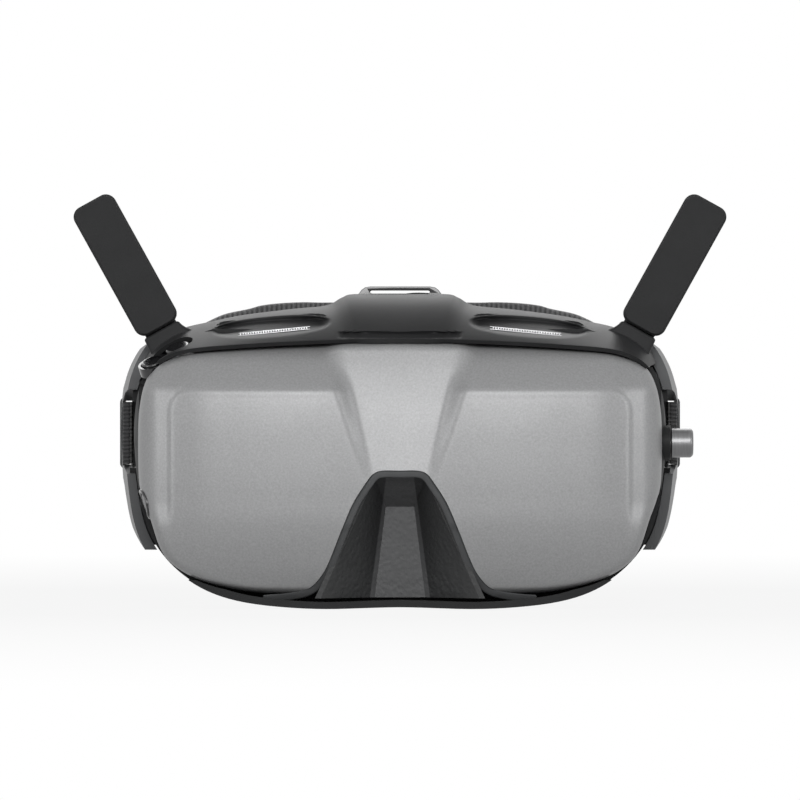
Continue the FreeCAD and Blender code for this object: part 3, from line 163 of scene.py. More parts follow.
# %% [markdown]
# Finishes. Each finish on the real goggles is one material: satin silver paint with flakes, fine-grained charcoal
# moulding, smooth grey plates, gloss black, knitted cover, woven band, turned metal and so on. All of them start from
# the Principled shader and read Object coordinates, so a pattern keeps its real scale on every piece.

# %% One function that starts a material
def new_material(name, colour, roughness, metallic=0.0, coat=0.0):
    material = bpy.data.materials.new(name)
    material.use_nodes = True
    tree = material.node_tree
    shader = tree.nodes["Principled BSDF"]
    shader.inputs["Base Color"].default_value = (*colour, 1)
    shader.inputs["Roughness"].default_value = roughness
    shader.inputs["Metallic"].default_value = metallic
    shader.inputs["Coat Weight"].default_value = coat
    place = tree.nodes.new("ShaderNodeTexCoord").outputs["Object"]
    material.diffuse_color = (*colour, 1)
    return material, tree, shader, place


def use_group(tree, group, vector, **values):
    node = tree.nodes.new("ShaderNodeGroup")
    node.node_tree = group
    tree.links.new(vector, node.inputs["Vector"])
    for label, value in values.items():
        node.inputs[label].default_value = value
    return node.outputs


def bump(tree, height, shader, strength, distance):
    node = tree.nodes.new("ShaderNodeBump")
    node.inputs["Strength"].default_value = strength
    node.inputs["Distance"].default_value = distance
    link_all(tree, [(height, node.inputs["Height"]), (node.outputs["Normal"], shader.inputs["Normal"])])


def vary_colour(tree, shader, mask, dark, light, low=0.3, high=0.7):
    ramp = tree.nodes.new("ShaderNodeValToRGB")
    ramp.color_ramp.elements[0].position, ramp.color_ramp.elements[1].position = low, high
    ramp.color_ramp.elements[0].color = (*dark, 1)
    ramp.color_ramp.elements[1].color = (*light, 1)
    link_all(tree, [(mask, ramp.inputs["Fac"]), (ramp.outputs["Color"], shader.inputs["Base Color"])])


def vary_roughness(tree, shader, mask, base, amount):
    value = maths(tree, "ADD", maths(tree, "MULTIPLY", mask, amount), base)
    tree.links.new(value, shader.inputs["Roughness"])


# %% The finishes
def silver_paint():
    material, tree, shader, place = new_material("cover_silver", (0.295, 0.297, 0.3), 0.42, 0.38)
    shader.inputs["Specular IOR Level"].default_value = 0.2
    flakes = use_group(tree, SPECKLE, place, Scale=1500.0)
    mask = maths(tree, "ADD", maths(tree, "MULTIPLY", flakes["Value"], 1.3), 0.5)
    vary_colour(tree, shader, mask, (0.25, 0.251, 0.254), (0.345, 0.347, 0.35), 0.1, 0.9)
    vary_roughness(tree, shader, flakes["Cloud"], 0.42, 0.08)
    bump(tree, flakes["Value"], shader, 0.09, 0.0003)
    return material


def moulded(name, colour, roughness, scale=1800.0, strength=0.12, spread=0.12, coat=0.0, shine=0.5):
    """A matt moulding: grain in the surface and slow, slight changes of shade."""
    material, tree, shader, place = new_material(name, colour, roughness, 0.0, coat)
    shader.inputs["Specular IOR Level"].default_value = shine
    grain = use_group(tree, GRAIN, place, Scale=scale)
    dark = tuple(c * (1 - spread) for c in colour)
    light = tuple(c * (1 + spread) for c in colour)
    vary_colour(tree, shader, grain["Shade"], dark, light)
    vary_roughness(tree, shader, grain["Shade"], roughness - 0.04, 0.08)
    bump(tree, grain["Height"], shader, strength, 0.0002)
    return material


LIT_COLUMN_HALF, LIT_COLUMN_SPREAD = 0.0101, 0.135     # m at height 0, and how much it narrows for each metre upwards
LIT_COLUMN_EDGE = 3000.0                           # how hard the edge of the painted highlight is


def nose_moulding():
    """Soft black moulding with a coarse leather grain, and a painted highlight that makes the raised strip in its
    middle paler.
    """
    material, tree, shader, place = new_material("nose_black", (0.02, 0.021, 0.022), 0.6)
    grain = use_group(tree, GRAIN, place, Scale=700.0)
    split = tree.nodes.new("ShaderNodeSeparateXYZ")
    tree.links.new(place, split.inputs[0])
    away = maths(tree, "ABSOLUTE", split.outputs["X"])
    half = maths(tree, "SUBTRACT", LIT_COLUMN_HALF, maths(tree, "MULTIPLY", split.outputs["Z"], LIT_COLUMN_SPREAD))
    # painted highlight: the raised middle strip gets a lighter colour where it faces the light
    lit_column = maths(tree, "MULTIPLY", maths(tree, "SUBTRACT", half, away), LIT_COLUMN_EDGE, clamp=True)
    vary_colour(tree, shader, lit_column, (0.014, 0.0145, 0.015), (0.085, 0.086, 0.088), 0.0, 1.0)
    vary_roughness(tree, shader, grain["Shade"], 0.55, 0.1)
    bump(tree, grain["Height"], shader, 0.6, 0.0005)
    return material


def turned_metal(name, colour, roughness):
    """Bare metal with the fine rings or lines that a tool leaves."""
    material, tree, shader, place = new_material(name, colour, roughness, 1.0)
    stretch = tree.nodes.new("ShaderNodeMapping")
    stretch.inputs["Scale"].default_value = (4000, 120, 120)
    tree.links.new(place, stretch.inputs["Vector"])
    lines = noise(tree, stretch.outputs["Vector"], 1.0, 3.0)
    vary_roughness(tree, shader, lines, roughness - 0.06, 0.14)
    vary_colour(tree, shader, lines, tuple(c * 0.85 for c in colour), tuple(min(1, c * 1.1) for c in colour))
    bump(tree, lines, shader, 0.05, 0.0001)
    return material


def knit(name, dark, light, ribs, loops, turn=0.0):
    """Cloth with ribs across X, or across Z when it is turned by a quarter."""
    material, tree, shader, place = new_material(name, light, 0.9)
    turned = tree.nodes.new("ShaderNodeMapping")
    turned.inputs["Rotation"].default_value = (0, turn, 0)
    tree.links.new(place, turned.inputs["Vector"])
    rib = use_group(tree, RIB, turned.outputs["Vector"], Ribs=ribs, Loops=loops)
    mask = maths(tree, "ADD", maths(tree, "MULTIPLY", rib["Height"], 0.5), 0.35)
    vary_colour(tree, shader, mask, dark, light, 0.1, 0.8)
    shader.inputs["Sheen Weight"].default_value = 0.3
    bump(tree, rib["Height"], shader, 0.7, 0.0005)
    return material


def clear_glass():
    material, _, shader, _ = new_material("lens_glass", (0.82, 0.86, 0.9), 0.03)
    shader.inputs["Transmission Weight"].default_value = 1.0
    shader.inputs["IOR"].default_value = 1.52
    shader.inputs["Coat Weight"].default_value = 0.4
    return material


finishes = {
    "cover_silver": silver_paint(),
    "shell_dark": moulded("shell_dark", (0.022, 0.0223, 0.023), 0.5, shine=0.12),
    "trim_grey": moulded("trim_grey", (0.08, 0.082, 0.084), 0.5, shine=0.2),
    "nose_black": nose_moulding(),
    "plate_grey": moulded("plate_grey", (0.075, 0.077, 0.08), 0.42, 2500.0, 0.05, shine=0.4),
    "gloss_black": moulded("gloss_black", (0.006, 0.006, 0.007), 0.16, 2500.0, 0.01, 0.05, 0.3),
    "grille_metal": turned_metal("grille_metal", (0.6, 0.6, 0.61), 0.3),
    "knob_metal": turned_metal("knob_metal", (0.17, 0.17, 0.173), 0.36),
    "steel": turned_metal("steel", (0.56, 0.56, 0.57), 0.3),
    "foam_grey": knit("foam_grey", (0.035, 0.035, 0.036), (0.15, 0.15, 0.153), 640.0, 420.0),
    "rubber_black": moulded("rubber_black", (0.02, 0.02, 0.02), 0.7, 1500.0, 0.1),
    "strap_fabric": knit("strap_fabric", (0.025, 0.025, 0.026), (0.085, 0.085, 0.088), 800.0, 500.0,
                         math.pi / 2),
    "lens_glass": clear_glass(),
    "screen_dark": moulded("screen_dark", (0.008, 0.009, 0.014), 0.08, 2500.0, 0.0, 0.05, 0.4),
    "board_green": moulded("board_green", (0.01, 0.07, 0.035), 0.35, 1200.0, 0.05, 0.2),
    "chip_black": moulded("chip_black", (0.015, 0.015, 0.016), 0.5, 2500.0, 0.1),
    "sink_metal": turned_metal("sink_metal", (0.66, 0.66, 0.67), 0.34),
    "cell_wrap": moulded("cell_wrap", (0.05, 0.1, 0.26), 0.3, 500.0, 0.05),
    "light_lens": moulded("light_lens", (0.45, 0.75, 0.5), 0.3, 2000.0, 0.02),
}
record_slots = {s["node"]: s["material_slot"] for s in frame["record"]["subparts"]}
for name, thing in nodes.items():
    thing.data.materials.clear()
    thing.data.materials.append(finishes[record_slots[name]])
print("finishes:", len(finishes))


# %% [markdown]
# Bevelled copies. A CAD solid has knife-sharp edges, and a real moulding never does: a highlight runs along each
# rounded edge. A copy of the node is merged, its flat faces are joined, and a bevel rounds what is sharper than a
# limit. The copy stands for the node, rides on the same body and uses the same finish.

# %% Helpers that select, edit and shade
def deselect():
    if bpy.context.object and bpy.context.object.mode != "OBJECT":
        bpy.ops.object.mode_set(mode="OBJECT")
    bpy.ops.object.select_all(action="DESELECT")


def choose(thing):
    deselect()
    thing.select_set(True)
    bpy.context.view_layer.objects.active = thing


def apply_all(thing):
    choose(thing)
    for modifier in list(thing.modifiers):
        bpy.ops.object.modifier_apply(modifier=modifier.name)


def edit_all(thing, *steps):
    """Runs mesh operators, each with its settings, on the whole of a mesh."""
    choose(thing)
    bpy.ops.object.mode_set(mode="EDIT")
    for operator, settings in steps:
        bpy.ops.mesh.select_all(action="SELECT")
        operator(**settings)
    bpy.ops.object.mode_set(mode="OBJECT")


AGREE = (bpy.ops.mesh.normals_make_consistent, {"inside": False})


def smooth_to(thing, degrees):
    choose(thing)
    bpy.ops.object.shade_smooth_by_angle(angle=math.radians(degrees))


def round_edges(thing, width, segments=3, angle=30):
    """Bevels every edge that is sharper than an angle."""
    bevel = thing.modifiers.new("edges", "BEVEL")
    bevel.width, bevel.segments, bevel.limit_method = width * MM, segments, "ANGLE"
    bevel.angle_limit = math.radians(angle)
    apply_all(thing)


def thicken(thing, mm):
    """Gives an open shell its wall, on the inner side."""
    wall = thing.modifiers.new("wall", "SOLIDIFY")
    wall.thickness, wall.offset = mm * MM, -1
    apply_all(thing)


def face_towards(thing, number, direction):
    """Makes all normals agree, and turns them where the given face then looks away from a direction."""
    edit_all(thing, AGREE)
    if thing.data.polygons[number].normal.dot(Vector(direction)) < 0:
        edit_all(thing, (bpy.ops.mesh.flip_normals, {}))


def places_of(thing):
    co = np.zeros(len(thing.data.vertices) * 3)
    thing.data.vertices.foreach_get("co", co)
    return co.reshape(-1, 3)


def set_places(thing, places):
    thing.data.vertices.foreach_set("co", np.ascontiguousarray(places, float).ravel())
    thing.data.update()


# %% A bevelled copy of one CAD node
body_of_node = {n: b for b, members in frame["record"]["behaviour"]["bodies"].items() for n in members}


def finish_piece(thing, slot, body, *stands_for):
    """Gives a piece its finish, body and the nodes that it stands for."""
    thing.data.materials.clear()
    thing.data.materials.append(finishes[slot])
    if stands_for:
        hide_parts(*stands_for)
    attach(thing, body)
    return thing


BEVEL_ANGLE = 32             # degrees: edges sharper than this are rounded
FLAT_ANGLE = 1.5             # degrees: faces that differ by less are joined


def softened(node, width):
    """A bevelled copy of one CAD node."""
    source = nodes[node]
    copy = bpy.data.objects.new(node + "_shown", source.data.copy())
    bpy.context.collection.objects.link(copy)
    edit_all(copy, (bpy.ops.mesh.remove_doubles, {"threshold": SEAM_GAP}),
             (bpy.ops.mesh.dissolve_limited, {"angle_limit": math.radians(FLAT_ANGLE)}))
    round_edges(copy, width, angle=BEVEL_ANGLE)
    smooth_to(copy, 35)
    even = copy.modifiers.new("even", "WEIGHTED_NORMAL")
    even.keep_sharp = True
    apply_all(copy)
    return finish_piece(copy, record_slots[node], body_of_node[node], node)


# %% [markdown]
# Outlines. The cover and the housing are smooth closed curves seen from the front. A few named points on the right
# half are mirrored and joined by a smooth curve. Each outline is then a distance from its middle for every direction,
# so a square grid can be laid onto it.

# %% Outline helpers
def smooth_loop(points, per_span=24):
    """A closed Catmull-Rom curve through (x, z) points."""
    p = np.array(points, float)
    before, after, beyond = np.roll(p, 1, 0), np.roll(p, -1, 0), np.roll(p, -2, 0)
    t = np.linspace(0, 1, per_span, endpoint=False)[:, None, None]
    curve = 0.5 * (2 * p + (after - before) * t + (2 * before - 5 * p + 4 * after - beyond) * t ** 2
                   + (3 * p - before - 3 * after + beyond) * t ** 3)
    return curve.transpose(1, 0, 2).reshape(-1, 2)


def mirrored(points):
    """Closes a right half, from the top of the middle line to its foot, with its mirror image."""
    inner = [(-x, z) for x, z in reversed(points) if x > 1e-6]
    return points + inner


class Outline:
    """The reach of a closed curve from its middle, for every direction."""

    def __init__(self, points, middle):
        loop = smooth_loop(mirrored(points))
        self.middle = np.array(middle, float)
        away = loop - self.middle
        angle = np.arctan2(away[:, 1], away[:, 0])
        order = np.argsort(angle)
        self.angle, self.reach = angle[order], np.linalg.norm(away, axis=1)[order]

    def at(self, angle):
        return np.interp(angle, self.angle, self.reach, period=math.tau)


COVER = Outline([(0, 84.0), (30, 83.2), (55, 81.8), (67, 80.6), (73.5, 78.6), (78, 75.2), (80.6, 70), (82.1, 62.7),
                 (82.5, 54), (82.2, 40), (80.7, 34), (78.4, 28), (75.3, 19), (71.5, 14), (64, 9.6), (52, 6.2),
                 (38, 4.9), (0, 4.6)], (0, MIDDLE_HEIGHT))
BODY = Outline([(0, 99.3), (14.5, 99.3), (18.5, 98.2), (23.5, 95.7), (35, 94.5), (50, 92.6), (60, 90.6), (68, 88.8),
                (74, 86.4), (79, 82), (82, 76), (83.6, 66), (84, 54), (83.4, 40), (81.5, 28), (78.5, 20), (72.5, 13.6),
                (64, 7.6), (52, 3.0), (36, 0.7), (14, 0.3), (0, 0.8)], (0, MIDDLE_HEIGHT))
print("cover reach to the side:", round(float(COVER.at(0)), 1), "mm")


def ease(a, b, value):
    """0 below a, 1 above b, and a smooth rise between."""
    t = np.clip((value - a) / (b - a), 0, 1)
    return t * t * (3 - 2 * t)


def through(points, value):
    """A smooth function through (place, height) points."""
    places, heights = np.array(points, float).T
    slopes = np.gradient(heights, places)
    k = np.clip(np.searchsorted(places, value) - 1, 0, len(places) - 2)
    span = places[k + 1] - places[k]
    t = np.clip((value - places[k]) / span, 0, 1)
    return ((2 * t ** 3 - 3 * t ** 2 + 1) * heights[k] + (t ** 3 - 2 * t ** 2 + t) * span * slopes[k]
            + (3 * t ** 2 - 2 * t ** 3) * heights[k + 1] + (t ** 3 - t ** 2) * span * slopes[k + 1])


def grid_piece(name, columns, rows):
    """A flat grid to be shaped: returns the object and its (u, v) from -1 to 1."""
    deselect()
    bpy.ops.mesh.primitive_grid_add(x_subdivisions=columns, y_subdivisions=rows, size=2)
    thing = bpy.context.object
    thing.name = name
    return thing, places_of(thing)[:, :2]


# %% [markdown]
# The front cover. On the real goggles this is one thin silver shell. Its front is two shallow lobes with a raised
# panel, a brow that leans back above the panel, and a flatter ridge in the middle that runs down to the nose notch.
# A fine grid is laid onto the outline and pushed to the depth of that relief, its rim is carried back as a wall,
# and a solidify gives it its thickness. The notch is then cut out with a boolean.

# %% The relief of the front cover
LOBES = [(0, 1.0), (14, 0.7), (33, 0.0), (52, 0.9), (66, 3.0), (73, 5.6), (78, 9.0), (81, 13.0), (84, 19.0)]
LOBE_PROFILE = [(0, 13.5), (6, 8.6), (12, 5.0), (19, 2.4), (26, 0.9), (36, 0.15), (50, 0.0), (60, 0.35), (66, 0.9),
                (68.4, 1.25), (69.6, 1.8), (71, 2.9), (76, 7.2), (81, 11.7), (86, 16.6)]
RIDGE_PROFILE = [(30, 1.0), (44, 2.0), (56, 3.6), (66, 5.4), (76, 7.9), (86, 11.2)]


def rounded_box(x, z, middle, half, radius):
    """The distance outside a round-cornered rectangle."""
    qx = np.abs(x - middle[0]) - half[0] + radius
    qz = np.abs(z - middle[1]) - half[1] + radius
    return np.hypot(np.maximum(qx, 0), np.maximum(qz, 0)) + np.minimum(np.maximum(qx, qz), 0) - radius


def ridge_mask(x, z):
    half = np.interp(z, [40, 84], [9.5, 22])
    soft = np.interp(z, [40, 84], [2.6, 4.2])
    return 1 - ease(half - soft, half + soft, np.abs(x))


def cover_depth(x, z):
    lobe = through(LOBES, np.abs(x)) + through(LOBE_PROFILE, z)
    panel = rounded_box(x, z, (0, 43), (72.3, 26), 7)
    height = 0.2 + 0.8 * ease(66, 71, np.abs(x))
    step = ease(-0.7, 0.7, panel) * ease(25, 34, z) * height
    ridge = through(RIDGE_PROFILE, z) + 0.5 * (x / 22) ** 2
    mask = ridge_mask(x, z)
    return lobe * (1 - mask) + ridge * mask + step * (1 - mask)


def lay_on_outline(outline, flat):
    """Lays a square grid onto an outline: its border goes to the curve and its middle to the middle."""
    square = np.max(np.abs(flat), axis=1)
    angle = np.arctan2(flat[:, 1] * 0.5, flat[:, 0])
    reach = outline.at(angle)
    spot = np.stack([np.cos(angle), np.sin(angle)], 1) * (reach * square)[:, None] + outline.middle
    return spot, square, reach


ROLL = 3.0                   # mm, the radius of the cover's rim


def make_cover():
    cover, flat = grid_piece("front_cover_shell", 190, 150)
    spot, square, reach = lay_on_outline(COVER, flat)
    x, z = spot.T
    inset = (1 - square) * reach
    rolled = ROLL - np.sqrt(np.maximum(ROLL ** 2 - (ROLL - np.minimum(inset, ROLL)) ** 2, 0))
    y = cover_depth(x, z) + rolled
    set_places(cover, np.stack([x * MM, FRONT + y * MM, z * MM], 1))
    return cover


cover = make_cover()
print("cover vertices:", len(cover.data.vertices))


# %% Carry the rim back as a wall and give the shell its thickness
def carry_rim_back(thing, to_depth, steps=3):
    choose(thing)
    bpy.ops.object.mode_set(mode="EDIT")
    bpy.ops.mesh.select_all(action="SELECT")
    bpy.ops.mesh.region_to_loop()
    for left in range(steps, 0, -1):
        bpy.ops.mesh.extrude_edges_move(TRANSFORM_OT_translate={"value": (0, 0, 0)})
        bpy.ops.object.mode_set(mode="OBJECT")
        for v in thing.data.vertices:
            if v.select:
                v.co.y += (depth(to_depth) - v.co.y) / left
        bpy.ops.object.mode_set(mode="EDIT")
    bpy.ops.object.mode_set(mode="OBJECT")


carry_rim_back(cover, 24)
face_towards(cover, len(cover.data.polygons) // 2, (0, -1, 0))
thicken(cover, 1.8)
print("cover faces:", len(cover.data.polygons))


# %% Tools that cut: prisms and the opening for the pod
NOTCH = [(0, 43.5), (5.5, 43.5), (8.2, 42.6), (10.3, 40.2), (14.7, 33.3), (18.6, 24.2), (22.0, 15.6), (24.6, 10.6),
         (28.5, 6.6), (34.4, 5.0), (43, 4.2), (50, -4), (30, -10), (0, -10)]


def deepened(thing, mm):
    """A flat piece made solid by an extrude along Y."""
    edit_all(thing, (bpy.ops.mesh.extrude_region_move, {"TRANSFORM_OT_translate": {"value": (0, mm * MM, 0)}}), AGREE)
    return thing


def prism_from_loop(name, loop, d0, d1):
    """A solid with this front outline between two depths."""
    deselect()
    bpy.ops.mesh.primitive_circle_add(vertices=len(loop), radius=1, fill_type="NGON")
    thing = bpy.context.object
    thing.name = name
    for v, (x, z) in zip(thing.data.vertices, loop):
        v.co = (x * MM, depth(d0), z * MM)
    return deepened(thing, d1 - d0)


def subtract(thing, tool):
    cut = thing.modifiers.new("cut", "BOOLEAN")
    cut.operation, cut.object, cut.solver = "DIFFERENCE", tool, "EXACT"
    apply_all(thing)
    bpy.data.objects.remove(tool)


def node_middle(node):
    low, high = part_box(node)
    return (Vector(low) + Vector(high)) / 2


POD_LEAN, POD_TIP = math.radians(16), math.radians(22)
POD_HALF, POD_RADIUS = 4.4, 4.9     # mm: half the length of its straight sides, and the radius of its round ends


def pod_turn():
    """Where the control pod sits and how it leans."""
    return (Matrix.Translation(node_middle("control_pod"))
            @ (Matrix.Rotation(-POD_LEAN, 4, "Y") @ Matrix.Rotation(POD_TIP, 4, "X")))


def pod_opening(gap):
    """A solid that clears the control pod: its long rounded outline, leaning as the pod leans."""
    deselect()
    bpy.ops.mesh.primitive_cylinder_add(vertices=64, radius=(POD_RADIUS + gap) * MM, depth=30 * MM)
    thing = bpy.context.object
    for v in thing.data.vertices:
        v.co.x += math.copysign(POD_HALF * MM, v.co.x) if abs(v.co.x) > 1e-7 else 0
    thing.data.transform(pod_turn() @ Matrix.Translation((0, 0, 13.0 * MM)))
    return thing


# %% The link button on the side wall of the cover
COVER_SIDE = -0.081          # m, the side wall's x where a line misses it


def skin_at(shell, y, z):
    """The x of the wall of a shell on the wearer's right, seen from that side."""
    hit, spot, _, _ = shell.ray_cast(Vector((-1, y, z)), Vector((1, 0, 0)))
    return spot.x if hit else COVER_SIDE


def make_link_button():
    """The pairing button: a round ring and a shallow face, both laid on the curved side wall of the cover."""
    low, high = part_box("link_bezel")
    centre, radius = node_middle("link_bezel"), (high[2] - low[2]) / 2
    deselect()
    bpy.ops.mesh.primitive_torus_add(major_radius=radius, minor_radius=0.6 * MM, major_segments=72, minor_segments=12)
    ring = bpy.context.object
    ring.data.transform(Matrix.Rotation(math.pi / 2, 4, "Y"))
    face, flat = grid_piece("link_face", 22, 22)
    square = np.max(np.abs(flat), axis=1)
    turn = np.arctan2(flat[:, 1], flat[:, 0])
    reach = square * (radius - 0.9 * MM)
    y, z = centre.y + reach * np.cos(turn), centre.z + reach * np.sin(turn)
    x = [skin_at(cover, b, c) for b, c in zip(y, z)]
    set_places(face, np.stack([np.array(x) - 0.25 * MM + 0.5 * MM * square ** 4, y, z], 1))
    for v in ring.data.vertices:
        away = Vector((0, v.co.y, v.co.z)).normalized() * radius
        v.co += Vector((skin_at(cover, centre.y + away.y, centre.z + away.z), centre.y, centre.z))
    ring.name = "link_ring"
    face_towards(face, 0, (-1, 0, 0))
    thicken(face, 1.6)
    for thing in (ring, face):
        smooth_to(thing, 50)
    deselect()
    bpy.ops.mesh.primitive_cylinder_add(vertices=48, radius=radius - 0.2 * MM, depth=12 * MM)
    hole = bpy.context.object
    hole.data.transform(Matrix.Translation(centre) @ Matrix.Rotation(math.pi / 2, 4, "Y"))
    subtract(cover, hole)
    finish_piece(ring, "gloss_black", "root", "link_bezel")
    finish_piece(face, "knob_metal", body_of_node["link_button"], "link_button")


# %% Cut the nose notch and the openings
subtract(cover, prism_from_loop("notch_tool", smooth_loop(mirrored(NOTCH), 8), -8, 40))
subtract(cover, pod_opening(0.5))
make_link_button()
smooth_to(cover, 40)
finish_piece(cover, "cover_silver", "root", "front_cover")
print("cover after the notch:", len(cover.data.polygons), "faces")


# %% [markdown]
# The notch edging. A grey moulding lines the nose notch. It follows the same curve as the cut, so it is made from that
# curve: a closed band between two copies of the outline, given its depth by an extrude, with its front edge bevelled.

# %% The notch edging
def band_between(name, outer, inner, d0, d1):
    """A solid band between two curves with the same number of points, open at its two ends."""
    count = len(outer)
    deselect()
    bpy.ops.mesh.primitive_grid_add(x_subdivisions=count - 1, y_subdivisions=1, size=2)
    thing = bpy.context.object
    thing.name = name
    places = [(x * MM, depth(d0), z * MM) for x, z in outer] + [(x * MM, depth(d0), z * MM) for x, z in inner]
    for v, place in zip(thing.data.vertices, places):
        v.co = place
    return deepened(thing, d1 - d0)


def open_curve(points, per_span=10):
    """A smooth open curve through (x, z) points."""
    p = np.array(points, float)
    steps = np.arange(0, len(p) - 1 + 1e-9, 1 / per_span)
    k = np.minimum(steps.astype(int), len(p) - 2)
    t = (steps - k)[:, None]
    slopes = np.gradient(p, axis=0)
    return ((2 * t ** 3 - 3 * t ** 2 + 1) * p[k] + (t ** 3 - 2 * t ** 2 + t) * slopes[k]
            + (3 * t ** 2 - 2 * t ** 3) * p[k + 1] + (t ** 3 - t ** 2) * slopes[k + 1])


def moved_in(curve, amount):
    """A copy of a curve, moved towards its right-hand side."""
    along = np.gradient(curve, axis=0)
    along /= np.linalg.norm(along, axis=1)[:, None]
    return curve + np.stack([along[:, 1], -along[:, 0]], 1) * amount


EDGE_RIGHT = NOTCH[:11]
edge_line = open_curve([(-x, z) for x, z in reversed(EDGE_RIGHT[1:])] + EDGE_RIGHT, 10)
trim = band_between("notch_edging", moved_in(edge_line, -0.15), moved_in(edge_line, 2.25), 2.6, 6.2)
for v in trim.data.vertices:  # the edging follows the tucked-in foot of the cover
    v.co.y += float(through(LOBE_PROFILE, np.array(v.co.z / MM))) * 0.75 * MM if v.co.z < 26 * MM else 0
round_edges(trim, 0.5)
smooth_to(trim, 40)
finish_piece(trim, "trim_grey", "root", "notch_trim")
print("edging:", len(trim.data.polygons), "faces")


# %% [markdown]
# The top shell. This is the dark moulding over the silver cover. It rises from the cover's upper edge to the raised
# middle, with a scooped recess on each side for the air outlets and a shallow strip along the front. A grid runs
# round the top of the outline in one direction and from front to back in the other, and the scoops are pressed in.

# %% The top shell
TOP_FRONT = Outline([(0, 84.9), (30, 84.1), (55, 82.7), (67, 81.5), (74, 79.2), (78.6, 75.6), (81.2, 70), (82.7, 62),
                     (83.0, 54), (82.8, 40), (81, 34), (78.6, 28), (75, 19), (71, 14), (64, 9), (52, 6), (38, 4),
                     (0, 4)], (0, MIDDLE_HEIGHT))


def scoop(x, z):
    """How deep the recess round an air outlet is at this place, from 0 to 1."""
    ax = np.abs(x)
    middle = 88.7 - 0.075 * (ax - 40)
    across = np.clip((ax - 40.5) / 19, -1.2, 1.2)
    half = 3.6 * np.sqrt(np.maximum(0, 1 - np.abs(across) ** 2.2)) + 0.01
    over, under = np.maximum(z - middle, 0) / half, np.maximum(middle - z, 0) / half
    return (1 - ease(0.45, 1.0, over)) * (1 - ease(0.1, 1.0, under)) * (1 - ease(0.8, 1.0, np.abs(across)))


def make_top_shell():
    shell, flat = grid_piece("top_shell", 260, 64)
    split = math.atan2(77.5 - MIDDLE_HEIGHT, 82)
    angle = math.pi / 2 - flat[:, 0] * (math.pi / 2 - split)
    t = (flat[:, 1] + 1) / 2
    direction = np.stack([np.cos(angle), np.sin(angle)], 1)
    near, far = TOP_FRONT.at(angle), BODY.at(angle)
    rise = np.sin(np.clip(t / 0.8, 0, 1) * math.pi / 2) ** 1.15
    spot = direction * (near + (far - near) * rise)[:, None] + (0, MIDDLE_HEIGHT)
    x, z = spot.T
    start = 9.5 + through(LOBES, np.abs(x)) * 0.9
    y = start + (56 - start) * t ** 1.25
    press = scoop(x, z)
    groove = (1 - ease(17.5, 20, np.abs(x))) * (1 - ease(0.7, 1.1, np.abs(z - 86.0)))
    y = y + 5.0 * press + 1.6 * groove
    set_places(shell, np.stack([x * MM, depth(0) + y * MM, z * MM], 1))
    return shell


top_shell = make_top_shell()
face_towards(top_shell, len(top_shell.data.polygons) // 2, (0, 0, 1))
thicken(top_shell, 1.4)
subtract(top_shell, pod_opening(0.4))
smooth_to(top_shell, 45)
finish_piece(top_shell, "shell_dark", "root", "top_cover")
print("top shell:", len(top_shell.data.polygons), "faces")


# %% [markdown]
# The air outlets. Deep in each scoop a thin metal grille shows as a row of short bright teeth between two rails.
# One tooth is a bevelled box. It is copied along the line, each copy is set onto the floor of the scoop by a ray cast
# from the front, and all of them are joined into the piece that stands for both grilles.

# %% The air outlets
def floor_of(shell, x, z):
    """The y where a line from the front first meets a shell."""
    hit, spot, _, _ = shell.ray_cast(Vector((x * MM, -1, z * MM)), Vector((0, 1, 0)))
    return spot.y if hit else depth(25)


def bar(name, middle, size, turn, bevel):
    """A small bevelled bar, turned about the y axis."""
    deselect()
    bpy.ops.mesh.primitive_cube_add(size=1)
    thing = bpy.context.object
    thing.name = name
    edit_all(thing, (bpy.ops.transform.resize, {"value": [v * MM for v in size]}),
             (bpy.ops.mesh.bevel, {"offset": bevel * MM, "segments": 2, "affect": "EDGES"}))
    thing.data.transform(Matrix.Translation(middle) @ Matrix.Rotation(turn, 4, "Y"))
    return thing


def join(pieces, name):
    deselect()
    for thing in pieces:
        thing.select_set(True)
    bpy.context.view_layer.objects.active = pieces[0]
    bpy.ops.object.join()
    pieces[0].name = name
    return pieces[0]


TEETH, TOOTH_STEP = 27, 0.8                              # mm from one tooth to the next
GRILLE_START, GRILLE_HEIGHT, GRILLE_SLOPE = 29, 88.3, 0.095   # mm, mm, and mm down for each mm outwards
RAIL_MIDDLE, RAIL_LENGTH = 39.6, 22.6                    # mm


def grille_height(x):
    return GRILLE_HEIGHT - (x - GRILLE_START) * GRILLE_SLOPE


teeth = []
for side in (-1, 1):
    for k in range(TEETH):
        x = GRILLE_START + 0.4 + k * TOOTH_STEP
        z = grille_height(x)
        place = (side * x * MM, floor_of(top_shell, side * x, z) - 0.15 * MM, z * MM)
        teeth.append(bar("tooth", place, (0.4, 0.9, 0.5), side * GRILLE_SLOPE, 0.08))
    for lift in (-0.4, 0.4):
        z = grille_height(RAIL_MIDDLE) + lift
        y = max(floor_of(top_shell, side * 32, z + 0.7), floor_of(top_shell, side * 47, z - 0.7))
        place = (side * RAIL_MIDDLE * MM, y - 0.3 * MM, z * MM)
        teeth.append(bar("rail", place, (RAIL_LENGTH, 1.0, 0.16), side * GRILLE_SLOPE, 0.04))
grilles = join(teeth, "air_outlets")
smooth_to(grilles, 30)
finish_piece(grilles, "grille_metal", "root", "vent_grilles")
print("teeth and rails:", len(teeth))


# %% [markdown]
# The top loop. It is a low glossy bar on the raised middle with a long narrow slot for an over-head strap. Its outline
# is drawn from the front and extruded, the slot is cut, and all its edges are well rounded.

